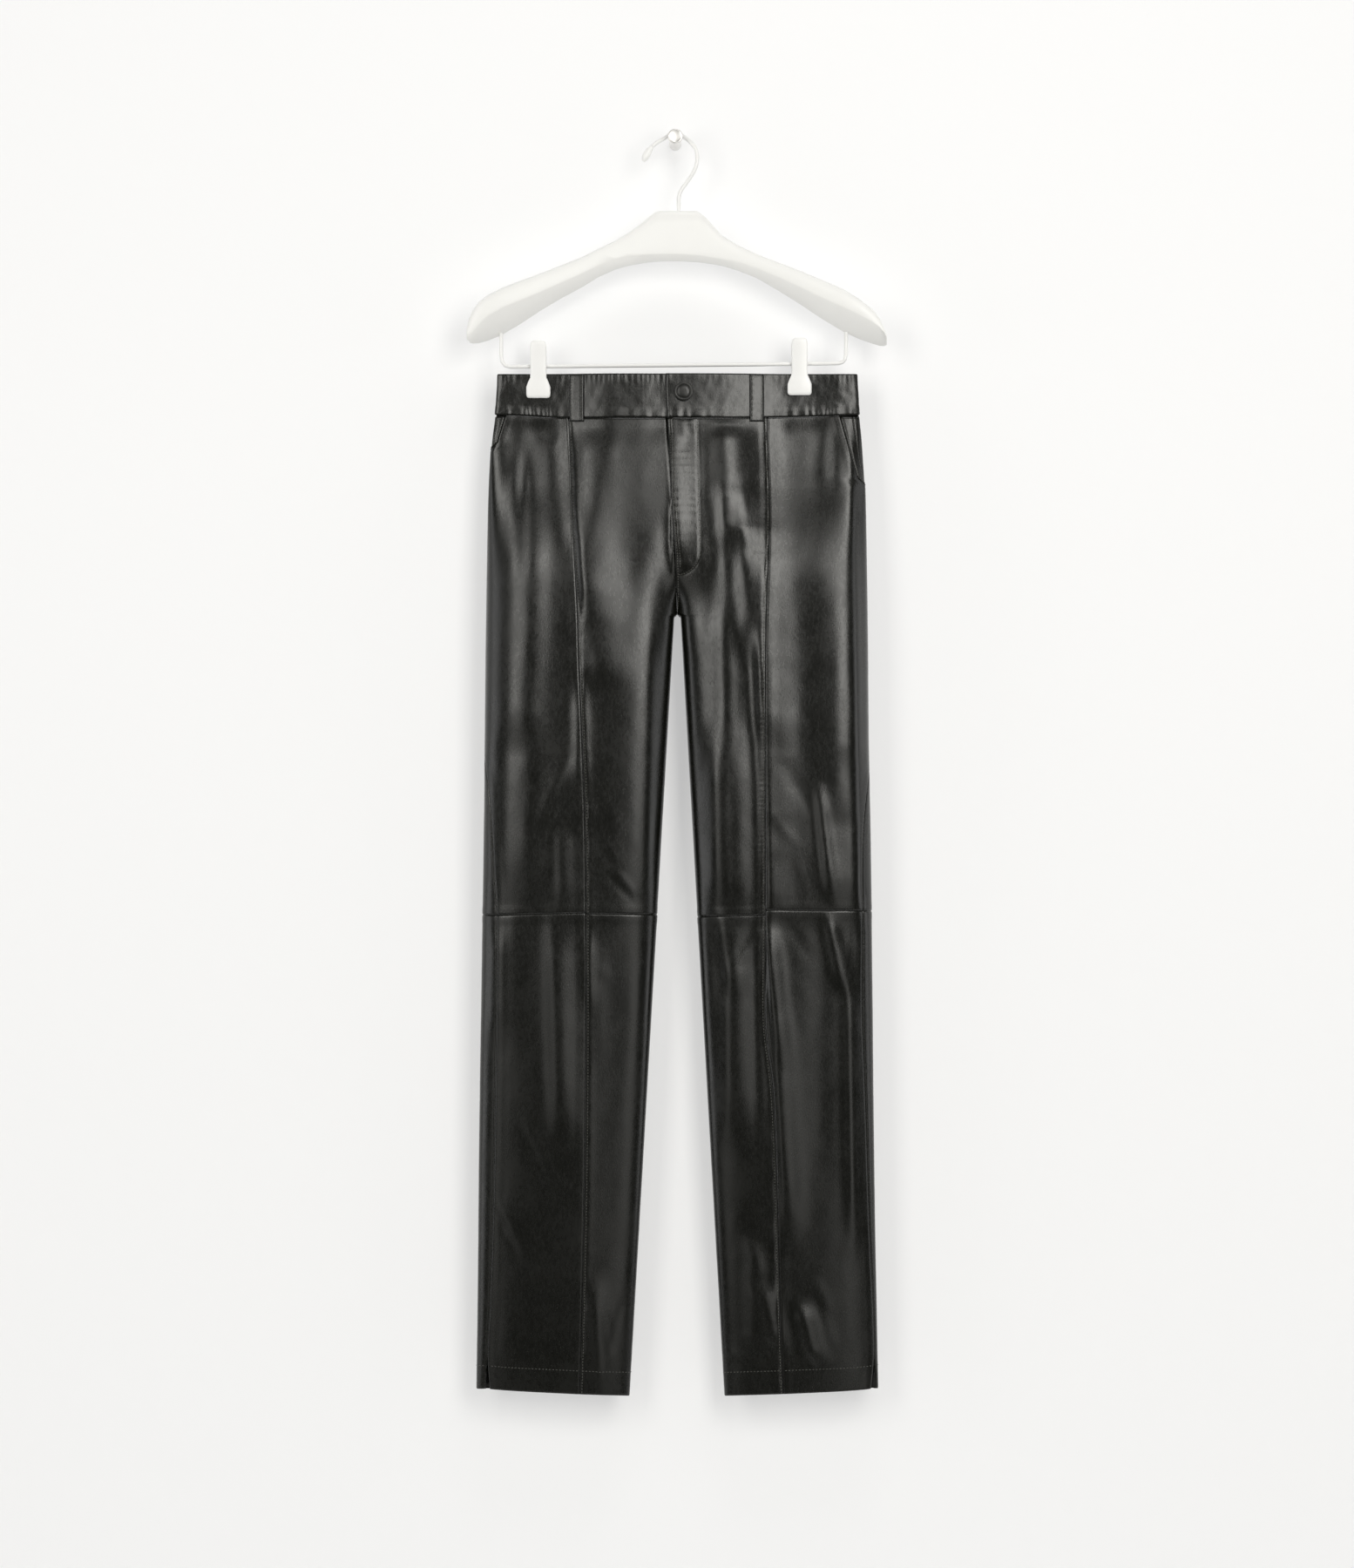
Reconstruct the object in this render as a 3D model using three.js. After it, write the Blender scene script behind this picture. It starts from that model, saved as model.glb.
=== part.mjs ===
// Leather trousers held by the waistband in two clips of a hanger, whose hook is on a wall peg.
// Millimetres, +Z up, the wall at Y = 0 and the front of the trousers towards -Y.
// Wearer's right is at -X (side -1), wearer's left at +X (side +1).
import * as THREE from "three";

const MM_PER_PX = 0.87; // real size of one picture pixel at the middle of the garment
const AXIS_PX = 775; // picture column of the peg
const AXIS_PY = 158.8; // picture row of the peg's axis, seen at the depth of the garment
const MID_Y = -38; // plane halfway between front and back of the garment
const SEAM_GAP = 0.3; // between two pieces that are sewn together
const PANEL_WALL = 1.3; // one layer of leather
const BAND_WALL = 2.4; // waistband, two layers
const HEM_WALL = 2.3; // turned hem
const HEM_DEEP_PX = 27; // height of the turned hem
const ROUNDNESS = 2.4; // exponent of the leg and hip sections
const BAND_TOP = 429.5; // picture row of the waistband's top edge
const KNEE = 1049; // picture row of the knee seam
const CROTCH = 707; // picture row of the top of the gap between the legs
const CLIP_COLUMNS = [618, 917.5]; // picture columns of the clips
const WIRE_R = 2.0; // hook and trouser bar

const mmX = (px) => (px - AXIS_PX) * MM_PER_PX;
const mmZ = (py) => (AXIS_PY - py) * MM_PER_PX;
const pxX = (x) => x / MM_PER_PX + AXIS_PX;
const pxZ = (z) => AXIS_PY - z / MM_PER_PX;
const lerp = (a, b, t) => a + (b - a) * t;
const clamp = (t, a = 0, b = 1) => Math.min(b, Math.max(a, t));
const smooth = (a, b, v) => {
  const t = clamp((v - a) / (b - a));
  return t * t * (3 - 2 * t);
};

// A smooth line through rows of [key, value], flat beyond its ends.
function curve(rows) {
  const slope = rows.map((_, i) => {
    const a = rows[Math.max(0, i - 1)];
    const b = rows[Math.min(rows.length - 1, i + 1)];
    return (b[1] - a[1]) / (b[0] - a[0]);
  });
  return (key) => {
    if (key <= rows[0][0]) return rows[0][1];
    if (key >= rows.at(-1)[0]) return rows.at(-1)[1];
    let i = 0;
    while (rows[i + 1][0] < key) i++;
    const wide = rows[i + 1][0] - rows[i][0];
    const t = (key - rows[i][0]) / wide;
    const a = (1 + 2 * t) * (1 - t) * (1 - t);
    const b = t * (1 - t) * (1 - t);
    const c = t * t * (3 - 2 * t);
    const d = t * t * (t - 1);
    return a * rows[i][1] + b * wide * slope[i] + c * rows[i + 1][1] + d * wide * slope[i + 1];
  };
}

// Outlines and seams as read from the picture: [row, column].
const OUTER = {
  "-1": curve([
    [429, 571], [476, 568], [500, 565], [520, 563], [560, 561], [600, 560], [720, 558],
    [900, 556], [1100, 553], [1300, 550], [1500, 548], [1600, 546.5],
  ]),
  "1": curve([
    [429, 984], [480, 987], [500, 989], [520, 990.5], [560, 993], [600, 994], [740, 996],
    [860, 997], [940, 999], [1100, 1001], [1300, 1003], [1500, 1006], [1600, 1008],
  ]),
};
const INNER = {
  "-1": curve([[CROTCH, 774], [1600, 722.5]]),
  "1": curve([[CROTCH, 781], [1600, 831.5]]),
};
const OPENING = curve([
  [428, 764], [478, 766], [561, 770], [639, 775], [662, 776], [CROTCH, 777.5],
]);
const CENTRE_BACK = 777.5;
const FRONT_SEAM = {
  "-1": curve([
    [480, 652.5], [598, 657], [700, 663], [760, 665], [907, 671], [1045, 673], [1320, 672],
    [1517, 668], [1600, 665.5],
  ]),
  "1": curve([
    [480, 880.6], [597, 883], [700, 879], [760, 878], [906, 877.5], [1066, 878], [1173, 878],
    [1246, 886], [1320, 890], [1495, 895], [1600, 899],
  ]),
};
// How far in front of the silhouette the side seam runs, in millimetres; below zero it is behind.
const SIDE_SEAM_IN = {
  "-1": curve([
    [480, -4], [820, -4], [930, 7], [999, 11.5], [1045, 15], [1320, 16], [1495, 13], [1552, 11],
    [1600, 14.5],
  ]),
  "1": curve([
    [480, -4], [840, -4], [953, 8], [1045, 9.5], [1154, 11], [1259, 8.5], [1408, 6], [1545, 3],
    [1600, 8],
  ]),
};
const SLIT_TOP = 1550;
const POCKET = {
  "-1": { inner: curve([[478, 580], [512, 569]]), outer: curve([[478, 574], [512, 564.5]]), end: 507 },
  "1": { inner: curve([[478, 964], [558, 987]]), outer: curve([[478, 971], [558, 992.3]]), end: 548 },
};
const WAIST_SEAM = curve([
  [560, 476], [600, 477.5], [652, 480], [850, 480], [940, 478], [995, 476],
]);

// Half the depth of the garment, [row, mm].
const HALF_DEPTH = curve([
  [429, 9], [478, 11], [520, 16.5], [560, 21], [620, 25.5], [700, 27.5], [800, 27.5], [900, 26],
  [KNEE, 23], [1200, 20.5], [1400, 18], [1560, 15.5], [1605, 14.5],
]);
// 1 where the two halves are one tube, 0 where they are two legs.
const HIP_TOP = 560;
function openness(row) {
  const up = clamp((CROTCH - row) / (CROTCH - HIP_TOP));
  return up * up;
}

// The broad folds of the front: [column, row, column, row, width, height], pixels and mm.
const FRONT_FOLDS = [
  [600, 560, 590, 1010, 20, 3.2],
  [638, 520, 640, 860, 16, -3.0],
  [698, 540, 706, 880, 24, 2.6],
  [752, 740, 748, 1020, 14, 2.0],
  [652, 1070, 650, 1290, 20, 2.4],
  [590, 1080, 596, 1440, 18, 1.8],
  [700, 1100, 700, 1500, 26, -1.6],
  [817, 560, 822, 850, 15, -2.2],
  [838, 620, 840, 1040, 20, 3.0],
  [862, 720, 862, 1040, 13, -2.4],
  [904, 560, 900, 920, 20, 3.4],
  [944, 560, 936, 900, 16, -3.0],
  [976, 520, 976, 1040, 14, 2.2],
  [848, 1060, 846, 1260, 18, 2.2],
  [892, 1080, 914, 1400, 18, 2.6],
  [960, 1080, 980, 1400, 18, 2.0],
  [860, 1430, 880, 1560, 22, 1.8],
];
const BACK_FOLDS = [
  [620, 560, 606, 1010, 24, 2.6],
  [690, 700, 700, 1000, 22, -2.2],
  [640, 1080, 650, 1420, 24, 2.0],
  [930, 560, 944, 1010, 24, 2.6],
  [860, 700, 850, 1000, 22, -2.2],
  [900, 1090, 890, 1440, 24, 2.0],
];
function foldsAt(folds, column, row) {
  let sum = 0;
  for (const [x0, y0, x1, y1, wide, high] of folds) {
    const along = (row - y0) / (y1 - y0);
    if (along < -0.2 || along > 1.2) continue;
    const off = (column - lerp(x0, x1, along)) / wide;
    sum += high * Math.exp(-off * off) * smooth(-0.2, 0.2, along) * smooth(1.2, 0.8, along);
  }
  return sum;
}

// The leather drawn flat by the clips: 1 under a clip, 0 away from it.
function pinch(column, row) {
  const down = smooth(590, 460, row);
  let most = 0;
  for (const clip of CLIP_COLUMNS)
    most = Math.max(most, smooth(62, 16, Math.abs(column - clip)));
  return most * down;
}

// The left front lies over the right front along the opening, so the two are a step apart there.
function lap(side, column, row) {
  const off = side * (column - OPENING(row));
  const down = smooth(700, 640, row);
  const band = smooth(512, 482, row);
  if (side > 0) return lerp(0.9, 1.6, band) * down * smooth(lerp(46, 84, band), lerp(0, 32, band), off);
  return -lerp(0.7, 1.3, band) * down * smooth(34, 0, off);
}

// A point of the cloth. v runs from the centre front (0) over the side (1) to the centre back (2);
// inset is how far inside the outer surface it lies.
function cloth(side, v, row, inset) {
  const isBack = v > 1;
  const w = isBack ? 2 - v : v;
  const open = openness(row);
  const t = lerp((1 - Math.cos(Math.PI * w)) / 2, Math.sin((Math.PI * w) / 2), open);
  let inner;
  if (row < CROTCH) {
    inner = mmX(isBack ? lerp(CENTRE_BACK, OPENING(row), smooth(600, CROTCH, row)) : OPENING(row));
    inner += side * (SEAM_GAP / 2);
  } else {
    const up = clamp((row - CROTCH) / 3);
    const arch = Math.sqrt(1 - (1 - up) * (1 - up));
    inner = lerp(mmX(OPENING(CROTCH)) + side * (SEAM_GAP / 2), mmX(INNER[side](row)), arch);
  }
  inner += side * inset * (1 - open);
  const outer = mmX(OUTER[side](row)) - side * inset;
  const x = inner + t * (outer - inner);
  const across = Math.min(1, Math.abs((2 * (t + open)) / (1 + open) - 1));
  const round = (1 - across ** ROUNDNESS) ** (1 / ROUNDNESS);
  const column = pxX(x);
  const flat = pinch(column, row);
  const wall = row < 479 ? BAND_WALL : lerp(BAND_WALL, PANEL_WALL, smooth(479, 500, row));
  const full = round * HALF_DEPTH(row);
  let half = lerp(full, wall * round + SEAM_GAP / 2, flat);
  const calm = round * (1 - flat);
  if (isBack) half += foldsAt(BACK_FOLDS, column, row) * calm;
  else half += (foldsAt(FRONT_FOLDS, column, row) + lap(side, column, row)) * calm;
  half -= inset * round;
  return [x, MID_Y + (isBack ? half : -half), mmZ(row)];
}

// v of the front point that lies in a given picture column.
function atColumn(side, column, row) {
  let low = side * (column - OPENING(row)) < 0 ? -0.5 : 0;
  let high = 1;
  for (let i = 0; i < 40; i++) {
    const mid = (low + high) / 2;
    if (side * (pxX(cloth(side, mid, row, 0)[0]) - column) < 0) low = mid;
    else high = mid;
  }
  return (low + high) / 2;
}
const distance = (a, b) => Math.hypot(a[0] - b[0], a[1] - b[1], a[2] - b[2]);
// Moves v by a length in mm along the section.
function walk(side, v, row, mm) {
  const step = 0.004 * Math.sign(mm);
  const here = cloth(side, v, row, 0);
  const there = cloth(side, v + step, row, 0);
  return v + (step * Math.abs(mm)) / distance(here, there);
}
function sideSeam(side, row) {
  const within = SIDE_SEAM_IN[side](row);
  if (within < 0) return walk(side, 1, row, -within);
  return atColumn(side, pxX(mmX(OUTER[side](row)) - side * within), row);
}
const half = SEAM_GAP / 2;
const centreFront = (side) => (row) => (row > CROTCH ? walk(side, 0, row, half) : 0);
const centreBack = (side) => (row) => (row > CROTCH ? walk(side, 2, row, -half) : 2);
const seamBefore = (side) => (row) => walk(side, atColumn(side, FRONT_SEAM[side](row), row), row, -half);
const seamAfter = (side) => (row) => walk(side, atColumn(side, FRONT_SEAM[side](row), row), row, half);
// The seam down the back of each leg mirrors the one in front.
const backSeam = (side, mm) => (row) =>
  walk(side, 2 - atColumn(side, FRONT_SEAM[side](row), row), row, mm);
const slit = (row) => smooth(SLIT_TOP, 1596, row);
const sideFrontEdge = (side) => (row) => walk(side, sideSeam(side, row), row, -half);
const sideBackEdge = (side) => (row) => walk(side, sideSeam(side, row), row, half + 7 * slit(row));

// A closed solid from a list of triangles over points; the faces are turned outwards.
function solid(points, triangles) {
  let volume = 0;
  for (const [a, b, c] of triangles) {
    const [p, q, r] = [points[a], points[b], points[c]];
    volume += p[0] * (q[1] * r[2] - q[2] * r[1]) + p[1] * (q[2] * r[0] - q[0] * r[2]);
    volume += p[2] * (q[0] * r[1] - q[1] * r[0]);
  }
  const index = volume < 0 ? triangles.map(([a, b, c]) => [a, c, b]) : triangles;
  const geometry = new THREE.BufferGeometry();
  geometry.setAttribute("position", new THREE.Float32BufferAttribute(points.flat(), 3));
  geometry.setIndex(index.flat());
  geometry.computeVertexNormals();
  return geometry;
}

// A wall between two surfaces given on the same grid: at(i, j, inset) for every row and column.
function sheet(rows, columns, at, outside, inside) {
  const points = [];
  const id = (layer, i, j) => (layer * (rows + 1) + i) * (columns + 1) + j;
  for (const inset of [outside, inside])
    for (let i = 0; i <= rows; i++)
      for (let j = 0; j <= columns; j++)
        points.push(at(i, j, typeof inset === "function" ? inset(i) : inset));
  const triangles = [];
  const quad = (a, b, c, d) => triangles.push([a, b, c], [a, c, d]);
  for (let i = 0; i < rows; i++)
    for (let j = 0; j < columns; j++) {
      quad(id(0, i, j), id(0, i, j + 1), id(0, i + 1, j + 1), id(0, i + 1, j));
      quad(id(1, i, j), id(1, i + 1, j), id(1, i + 1, j + 1), id(1, i, j + 1));
    }
  for (let j = 0; j < columns; j++) {
    quad(id(0, 0, j), id(1, 0, j), id(1, 0, j + 1), id(0, 0, j + 1));
    quad(id(0, rows, j), id(0, rows, j + 1), id(1, rows, j + 1), id(1, rows, j));
  }
  for (let i = 0; i < rows; i++) {
    quad(id(0, i, 0), id(0, i + 1, 0), id(1, i + 1, 0), id(1, i, 0));
    quad(id(0, i, columns), id(1, i, columns), id(1, i + 1, columns), id(0, i + 1, columns));
  }
  return solid(points, triangles);
}

// A solid through rings of points, with a fan at both ends, or closed on itself.
function loft(rings, closed = false) {
  const points = rings.flat();
  const n = rings[0].length;
  const triangles = [];
  const count = closed ? rings.length : rings.length - 1;
  for (let i = 0; i < count; i++)
    for (let j = 0; j < n; j++) {
      const [a, b] = [i * n + j, i * n + ((j + 1) % n)];
      const next = ((i + 1) % rings.length) * n;
      triangles.push([a, b, next + ((j + 1) % n)], [a, next + ((j + 1) % n), next + j]);
    }
  if (!closed)
    for (const [at, ring] of [[0, rings[0]], [rings.length - 1, rings.at(-1)]]) {
      const middle = [0, 1, 2].map((k) => ring.reduce((s, p) => s + p[k], 0) / n);
      points.push(middle);
      for (let j = 0; j < n; j++) {
        const [a, b] = [at * n + j, at * n + ((j + 1) % n)];
        triangles.push(at ? [a, b, points.length - 1] : [b, a, points.length - 1]);
      }
    }
  return solid(points, triangles);
}

// Round bar of one radius along a path of [x, z] in the plane Y = y.
function wire(path, y, radius, sides = 8) {
  return loft(
    path.map((p, i) => {
      const a = path[Math.max(0, i - 1)];
      const b = path[Math.min(path.length - 1, i + 1)];
      const long = Math.hypot(b[0] - a[0], b[1] - a[1]);
      const [nx, nz] = [-(b[1] - a[1]) / long, (b[0] - a[0]) / long];
      const r = Array.isArray(radius) ? radius[i] : radius;
      return Array.from({ length: sides }, (_, k) => {
        const angle = (2 * Math.PI * k) / sides;
        const [c, s] = [r * Math.cos(angle), r * Math.sin(angle)];
        return [p[0] + nx * c, y + s, p[1] + nz * c];
      });
    }),
  );
}

// Solid of revolution round a line through `centre` along -Y, from rows of [radius, distance].
function turned(rows, centre, sides) {
  return loft(
    rows.map(([r, along]) =>
      Array.from({ length: sides }, (_, k) => {
        const angle = (2 * Math.PI * k) / sides;
        return [centre[0] + r * Math.cos(angle), centre[1] - along, centre[2] + r * Math.sin(angle)];
      }),
    ),
  );
}

const group = new THREE.Group();
const LOOKS = {
  leather: { color: 0x2b2b27, roughness: 0.42, metalness: 0 },
  white: { color: 0xf4f4f1, roughness: 0.45, metalness: 0 },
  steel: { color: 0xd9d9d6, roughness: 0.22, metalness: 1 },
};
function add(name, geometry, look) {
  const mesh = new THREE.Mesh(geometry, new THREE.MeshStandardMaterial(LOOKS[look]));
  mesh.name = name;
  group.add(mesh);
}

// A cut panel: picture rows of the grid, its two side edges, and how its top and bottom edges run.
function panel(name, side, rows, from, to, columns, top, bottom, wall = () => PANEL_WALL) {
  const [first, last] = [rows[0], rows.at(-1)];
  const at = (i, j, inset) => {
    const across = j / columns;
    let row = rows[i];
    const column = pxX(cloth(side, lerp(from(first), to(first), across), first, 0)[0]);
    row += top(across, column) * smooth(first + 70, first, rows[i]);
    row += bottom(across) * smooth(last - 70, last, rows[i]);
    return cloth(side, lerp(from(row), to(row), across), row, inset);
  };
  add(name, sheet(rows.length - 1, columns, at, 0, (i) => wall(rows[i])), "leather");
}

const below = SEAM_GAP / 2 / MM_PER_PX; // half a seam gap in rows
const UPPER_ROWS = [
  478, 500, 524, 550, 580, 612, 644, 674, 693, 704.6, 709.5, 726, 760, 800, 845, 890, 935, 980,
  1015, KNEE - below,
];
const LOWER_ROWS = [
  KNEE + below, 1085, 1125, 1170, 1215, 1260, 1310, 1360, 1410, 1460, 1510, SLIT_TOP, 1570, 1571,
  1597,
];
const hemWall = (row) => (row > 1570.5 ? HEM_WALL : PANEL_WALL);
const underBand = (_, column) => WAIST_SEAM(column) + below - UPPER_ROWS[0];
const slope = (a, b) => (across) => lerp(a, b, across);
// Knee seam rows where it meets the inseam, the front seam from both sides, the side seam and the
// back seam.
const KNEE_AT = {
  "-1": { inseam: 1, seamIn: -1, seamOut: -2, side: 1, back: 0 },
  "1": { inseam: 3.5, seamIn: 0.5, seamOut: -5, side: -4, back: -1 },
};
for (const side of [-1, 1]) {
  const tag = side < 0 ? "r" : "l";
  const knee = KNEE_AT[side];
  const pocket = POCKET[side];
  const pocketRows = UPPER_ROWS.filter((row) => row < pocket.end);
  const sideEdge = (row) =>
    row < pocket.end
      ? walk(side, atColumn(side, pocket.inner(row), row), row, -half)
      : lerp(
          walk(side, atColumn(side, pocket.inner(pocket.end), row), row, -half),
          sideFrontEdge(side)(row),
          smooth(pocket.end, pocket.end + 14, row),
        );
  const sideRows = [...UPPER_ROWS, pocket.end, pocket.end + 7, pocket.end + 14].sort((a, b) => a - b)
    .filter((row, i, all) => !i || row - all[i - 1] > 4 || row > 700);
  panel("front_centre_upper_" + tag, side, UPPER_ROWS, centreFront(side), seamBefore(side), 6,
    underBand, slope(knee.inseam, knee.seamIn));
  panel("front_side_upper_" + tag, side, sideRows, seamAfter(side), sideEdge, 6,
    underBand, slope(knee.seamOut, knee.side));
  panel("back_side_upper_" + tag, side, UPPER_ROWS, sideBackEdge(side), backSeam(side, -half), 6,
    underBand, slope(knee.side, knee.back));
  panel("back_centre_upper_" + tag, side, UPPER_ROWS, backSeam(side, half), centreBack(side), 6,
    underBand, slope(knee.back, knee.inseam));
  const hemIn = 5;
  const hemOut = side < 0 ? -4.2 : -4.2;
  const hemSeam = side < 0 ? 1.3 : 1;
  panel("front_centre_lower_" + tag, side, LOWER_ROWS, centreFront(side), seamBefore(side), 6,
    slope(knee.inseam, knee.seamIn), slope(hemIn, hemSeam), hemWall);
  panel("front_side_lower_" + tag, side, LOWER_ROWS, seamAfter(side), sideFrontEdge(side), 6,
    slope(knee.seamOut, knee.side), slope(hemSeam, hemOut), hemWall);
  panel("back_side_lower_" + tag, side, LOWER_ROWS, sideBackEdge(side), backSeam(side, -half), 6,
    slope(knee.side, knee.back), slope(hemOut, hemSeam), hemWall);
  panel("back_centre_lower_" + tag, side, LOWER_ROWS, backSeam(side, half), centreBack(side), 6,
    slope(knee.back, knee.inseam), slope(hemSeam, hemIn), hemWall);

  // The slanted pocket: a stitched welt along the panel and the facing seen behind it.
  const welt = (j, row) =>
    atColumn(side, lerp(pocket.inner(row), pocket.outer(row), j), row);
  const steps = 4;
  const rowAt = (i) => lerp(479, pocket.end - 1, i / steps);
  add("pocket_welt_" + tag,
    sheet(steps, 2, (i, j, inset) => {
      const row = rowAt(i);
      const [a, b] = [walk(side, welt(0, row), row, half), walk(side, welt(1, row), row, -half)];
      return cloth(side, lerp(a, b, j / 2), row, inset);
    }, -0.3, PANEL_WALL), "leather");
  add("pocket_facing_" + tag,
    sheet(steps, 3, (i, j, inset) => {
      const row = rowAt(i);
      const from = walk(side, welt(1, row), row, half);
      return cloth(side, lerp(from, sideFrontEdge(side)(row), j / 3), row, inset);
    }, 0.5, PANEL_WALL + 0.5), "leather");
}

// Row of the seam under the waistband in a picture column.
const bandBottom = (column, way) => WAIST_SEAM(column) + way * below;
// A piece of the waistband between two v of one side, or right round the back.
function band(name, columns, at) {
  const rows = 4;
  add(name,
    sheet(rows, columns, (i, j, inset) => {
      const [side, v] = at(j / columns);
      const column = pxX(cloth(side, v, 478, 0)[0]);
      const row = lerp(BAND_TOP, bandBottom(column, -1), i / rows);
      return cloth(side, v, row, inset);
    }, 0, BAND_WALL), "leather");
}
const LAP_END = 791; // picture column of the hidden end of the right front waistband
const bandSide = (side) => walk(side, sideSeam(side, 480), 455, -half);
const bandBack = (side) => walk(side, sideSeam(side, 480), 455, half);
band("waistband_front_l", 18, (t) => [1, lerp(0, bandSide(1), t)]);
band("waistband_front_r", 20, (t) => [-1, lerp(atColumn(-1, LAP_END, 455), bandSide(-1), t)]);
band("waistband_back", 32, (t) =>
  t < 0.5 ? [-1, lerp(bandBack(-1), 2, t * 2)] : [1, lerp(2, bandBack(1), t * 2 - 1)]);

// Facing of the fly behind the left front, as far as the curved stitch line.
const FLY_STITCH = curve([[480, 800], [561, 801.5], [630, 803], [645, 799], [658, 787]]);
add("fly_facing",
  sheet(8, 3, (i, j, inset) => {
    const row = lerp(482, 655, i / 8);
    return cloth(1, lerp(0.004, atColumn(1, FLY_STITCH(row) + 2, row), j / 3), row, inset);
  }, PANEL_WALL + 0.8, 2 * PANEL_WALL + 0.8), "leather");

// Belt loops: strips over the waistband, sewn down at both ends.
function beltLoop(name, side, left, right) {
  const rows = 5;
  const [a, b] = side * (right - left) > 0 ? [left, right] : [right, left];
  const place = (column, row) => {
    const front = atColumn(side, column, row);
    return name.includes("back") ? 2 - front : front;
  };
  const away = [0.4, 0.7, 1.0, 1.0, 0.9, 0.7];
  add(name,
    sheet(rows, 3, (i, j, layer) => {
      const row = lerp(BAND_TOP + 0.6, 484.5, i / rows);
      const v = place(lerp(a, b, j / 3), row);
      return cloth(side, v, row, -away[i] - (layer ? 0 : 1.8));
    }, 0, 1), "leather");
}
beltLoop("belt_loop_front_r", -1, 655.5, 671);
beltLoop("belt_loop_front_l", 1, 859.8, 875.4);
beltLoop("belt_loop_back_r", -1, 655.5, 671);
beltLoop("belt_loop_back_l", 1, 859.8, 875.4);
add("belt_loop_back_c",
  sheet(5, 4, (i, j, layer) => {
    const row = lerp(BAND_TOP + 0.6, 484.5, i / 5);
    const off = [-1, -0.5, 0, 0.5, 1][j] * 0.055;
    const p = cloth(off < 0 ? -1 : 1, 2 - Math.abs(off), row, -[0.4, 0.7, 1, 1, 0.9, 0.7][i]);
    return [p[0], p[1] + (layer ? 0 : 1.8), p[2]];
  }, 0, 1), "leather");

// Covered button with a raised rim, on the left front waistband.
const BUTTON = { column: 784.6, row: 450.6, radius: 9.2, high: 3.6 };
const onBand = cloth(1, atColumn(1, BUTTON.column, BUTTON.row), BUTTON.row, 0);
add("waist_button",
  turned([[8.2, 0], [9.2, 0.8], [9.2, 2.8], [8.4, 3.6], [7.2, 3.6], [6.6, 2.7]],
    [mmX(BUTTON.column), onBand[1] - 0.5, mmZ(BUTTON.row)], 24), "leather");

// Hanger body: stations along it as [column, top row, lower front edge row, underside row].
const HANGER = [
  [536.5, 379, 388, 391], [539, 368, 387, 394], [543, 358, 385, 395.3], [550, 348.5, 377, 394.5],
  [560, 341, 367, 391], [575, 333, 358, 384.5], [597, 324, 348.5, 371.5], [619.5, 315.7, 339, 357],
  [644, 306, 327.5, 342.5], [669, 295.8, 316, 329], [687, 286.5, 307, 318], [705.7, 277.5, 299, 309.5],
  [721, 268, 295.3, 305], [735.6, 257.6, 293.6, 302.4], [745, 249.5, 293, 301], [752, 244.4, 292.8, 300.5],
  [757, 242.7, 292.6, 300.2], [778, 242.7, 292.5, 299.8], [800, 242.7, 293.8, 301], [808.6, 249, 295, 302],
  [818, 259, 296.7, 303.3], [828.5, 271, 298.6, 305], [848, 283, 303.3, 311], [868, 292.5, 310, 319],
  [893, 302.5, 320.5, 333.5], [918, 312, 332.5, 349], [943, 323, 345, 365.5], [968, 334, 356.5, 380.5],
  [985, 344.5, 364.5, 388.5], [1001, 357, 373.5, 394.5], [1009, 367.5, 379.5, 397.3], [1014, 379, 385, 398],
  [1017, 388, 391, 397],
];
const HANGER_MID = 776.5;
function hangerSection([column, top, edge, under]) {
  const off = Math.abs(column - HANGER_MID) / 240;
  const tip = Math.sqrt(clamp(Math.min(column - 533, 1020 - column) / 34));
  const deep = (7 + 9 * off ** 1.5) * lerp(0.45, 1, tip);
  const mid = MID_Y - 7 * off * off;
  const [x, zt, ze, zu] = [mmX(column), mmZ(top), mmZ(edge), mmZ(under)];
  const tall = zt - ze;
  const back = Math.min(mid + deep * 0.75, mid - deep + (ze - zu) + 1.2);
  return [
    [x, mid - deep * 0.55, zt], [x, mid - deep * 0.9, zt - tall * 0.1], [x, mid - deep, zt - tall * 0.3],
    [x, mid - deep, lerp(ze, zt, 0.12)], [x, mid - deep * 0.93, ze], [x, back, zu],
    [x, mid + deep * 0.86, zu + (ze - zu) * 0.12], [x, mid + deep, zu + (ze - zu) * 0.45],
    [x, mid + deep, zt - tall * 0.3], [x, mid + deep * 0.9, zt - tall * 0.1], [x, mid + deep * 0.55, zt],
  ];
}
add("hanger_body", loft(HANGER.map(hangerSection)), "white");

// Height of the underside of the hanger over a point of the middle plane.
function undersideZ(column) {
  const i = HANGER.findIndex((s) => s[0] > column);
  const t = (column - HANGER[i - 1][0]) / (HANGER[i][0] - HANGER[i - 1][0]);
  const s = hangerSection(HANGER[i].map((v, k) => lerp(HANGER[i - 1][k], v, t)));
  const [a, b] = [s[4], s[5]];
  const at = clamp((MID_Y + WIRE_R - a[1]) / (b[1] - a[1]));
  return lerp(a[2], b[2], at);
}

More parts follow.
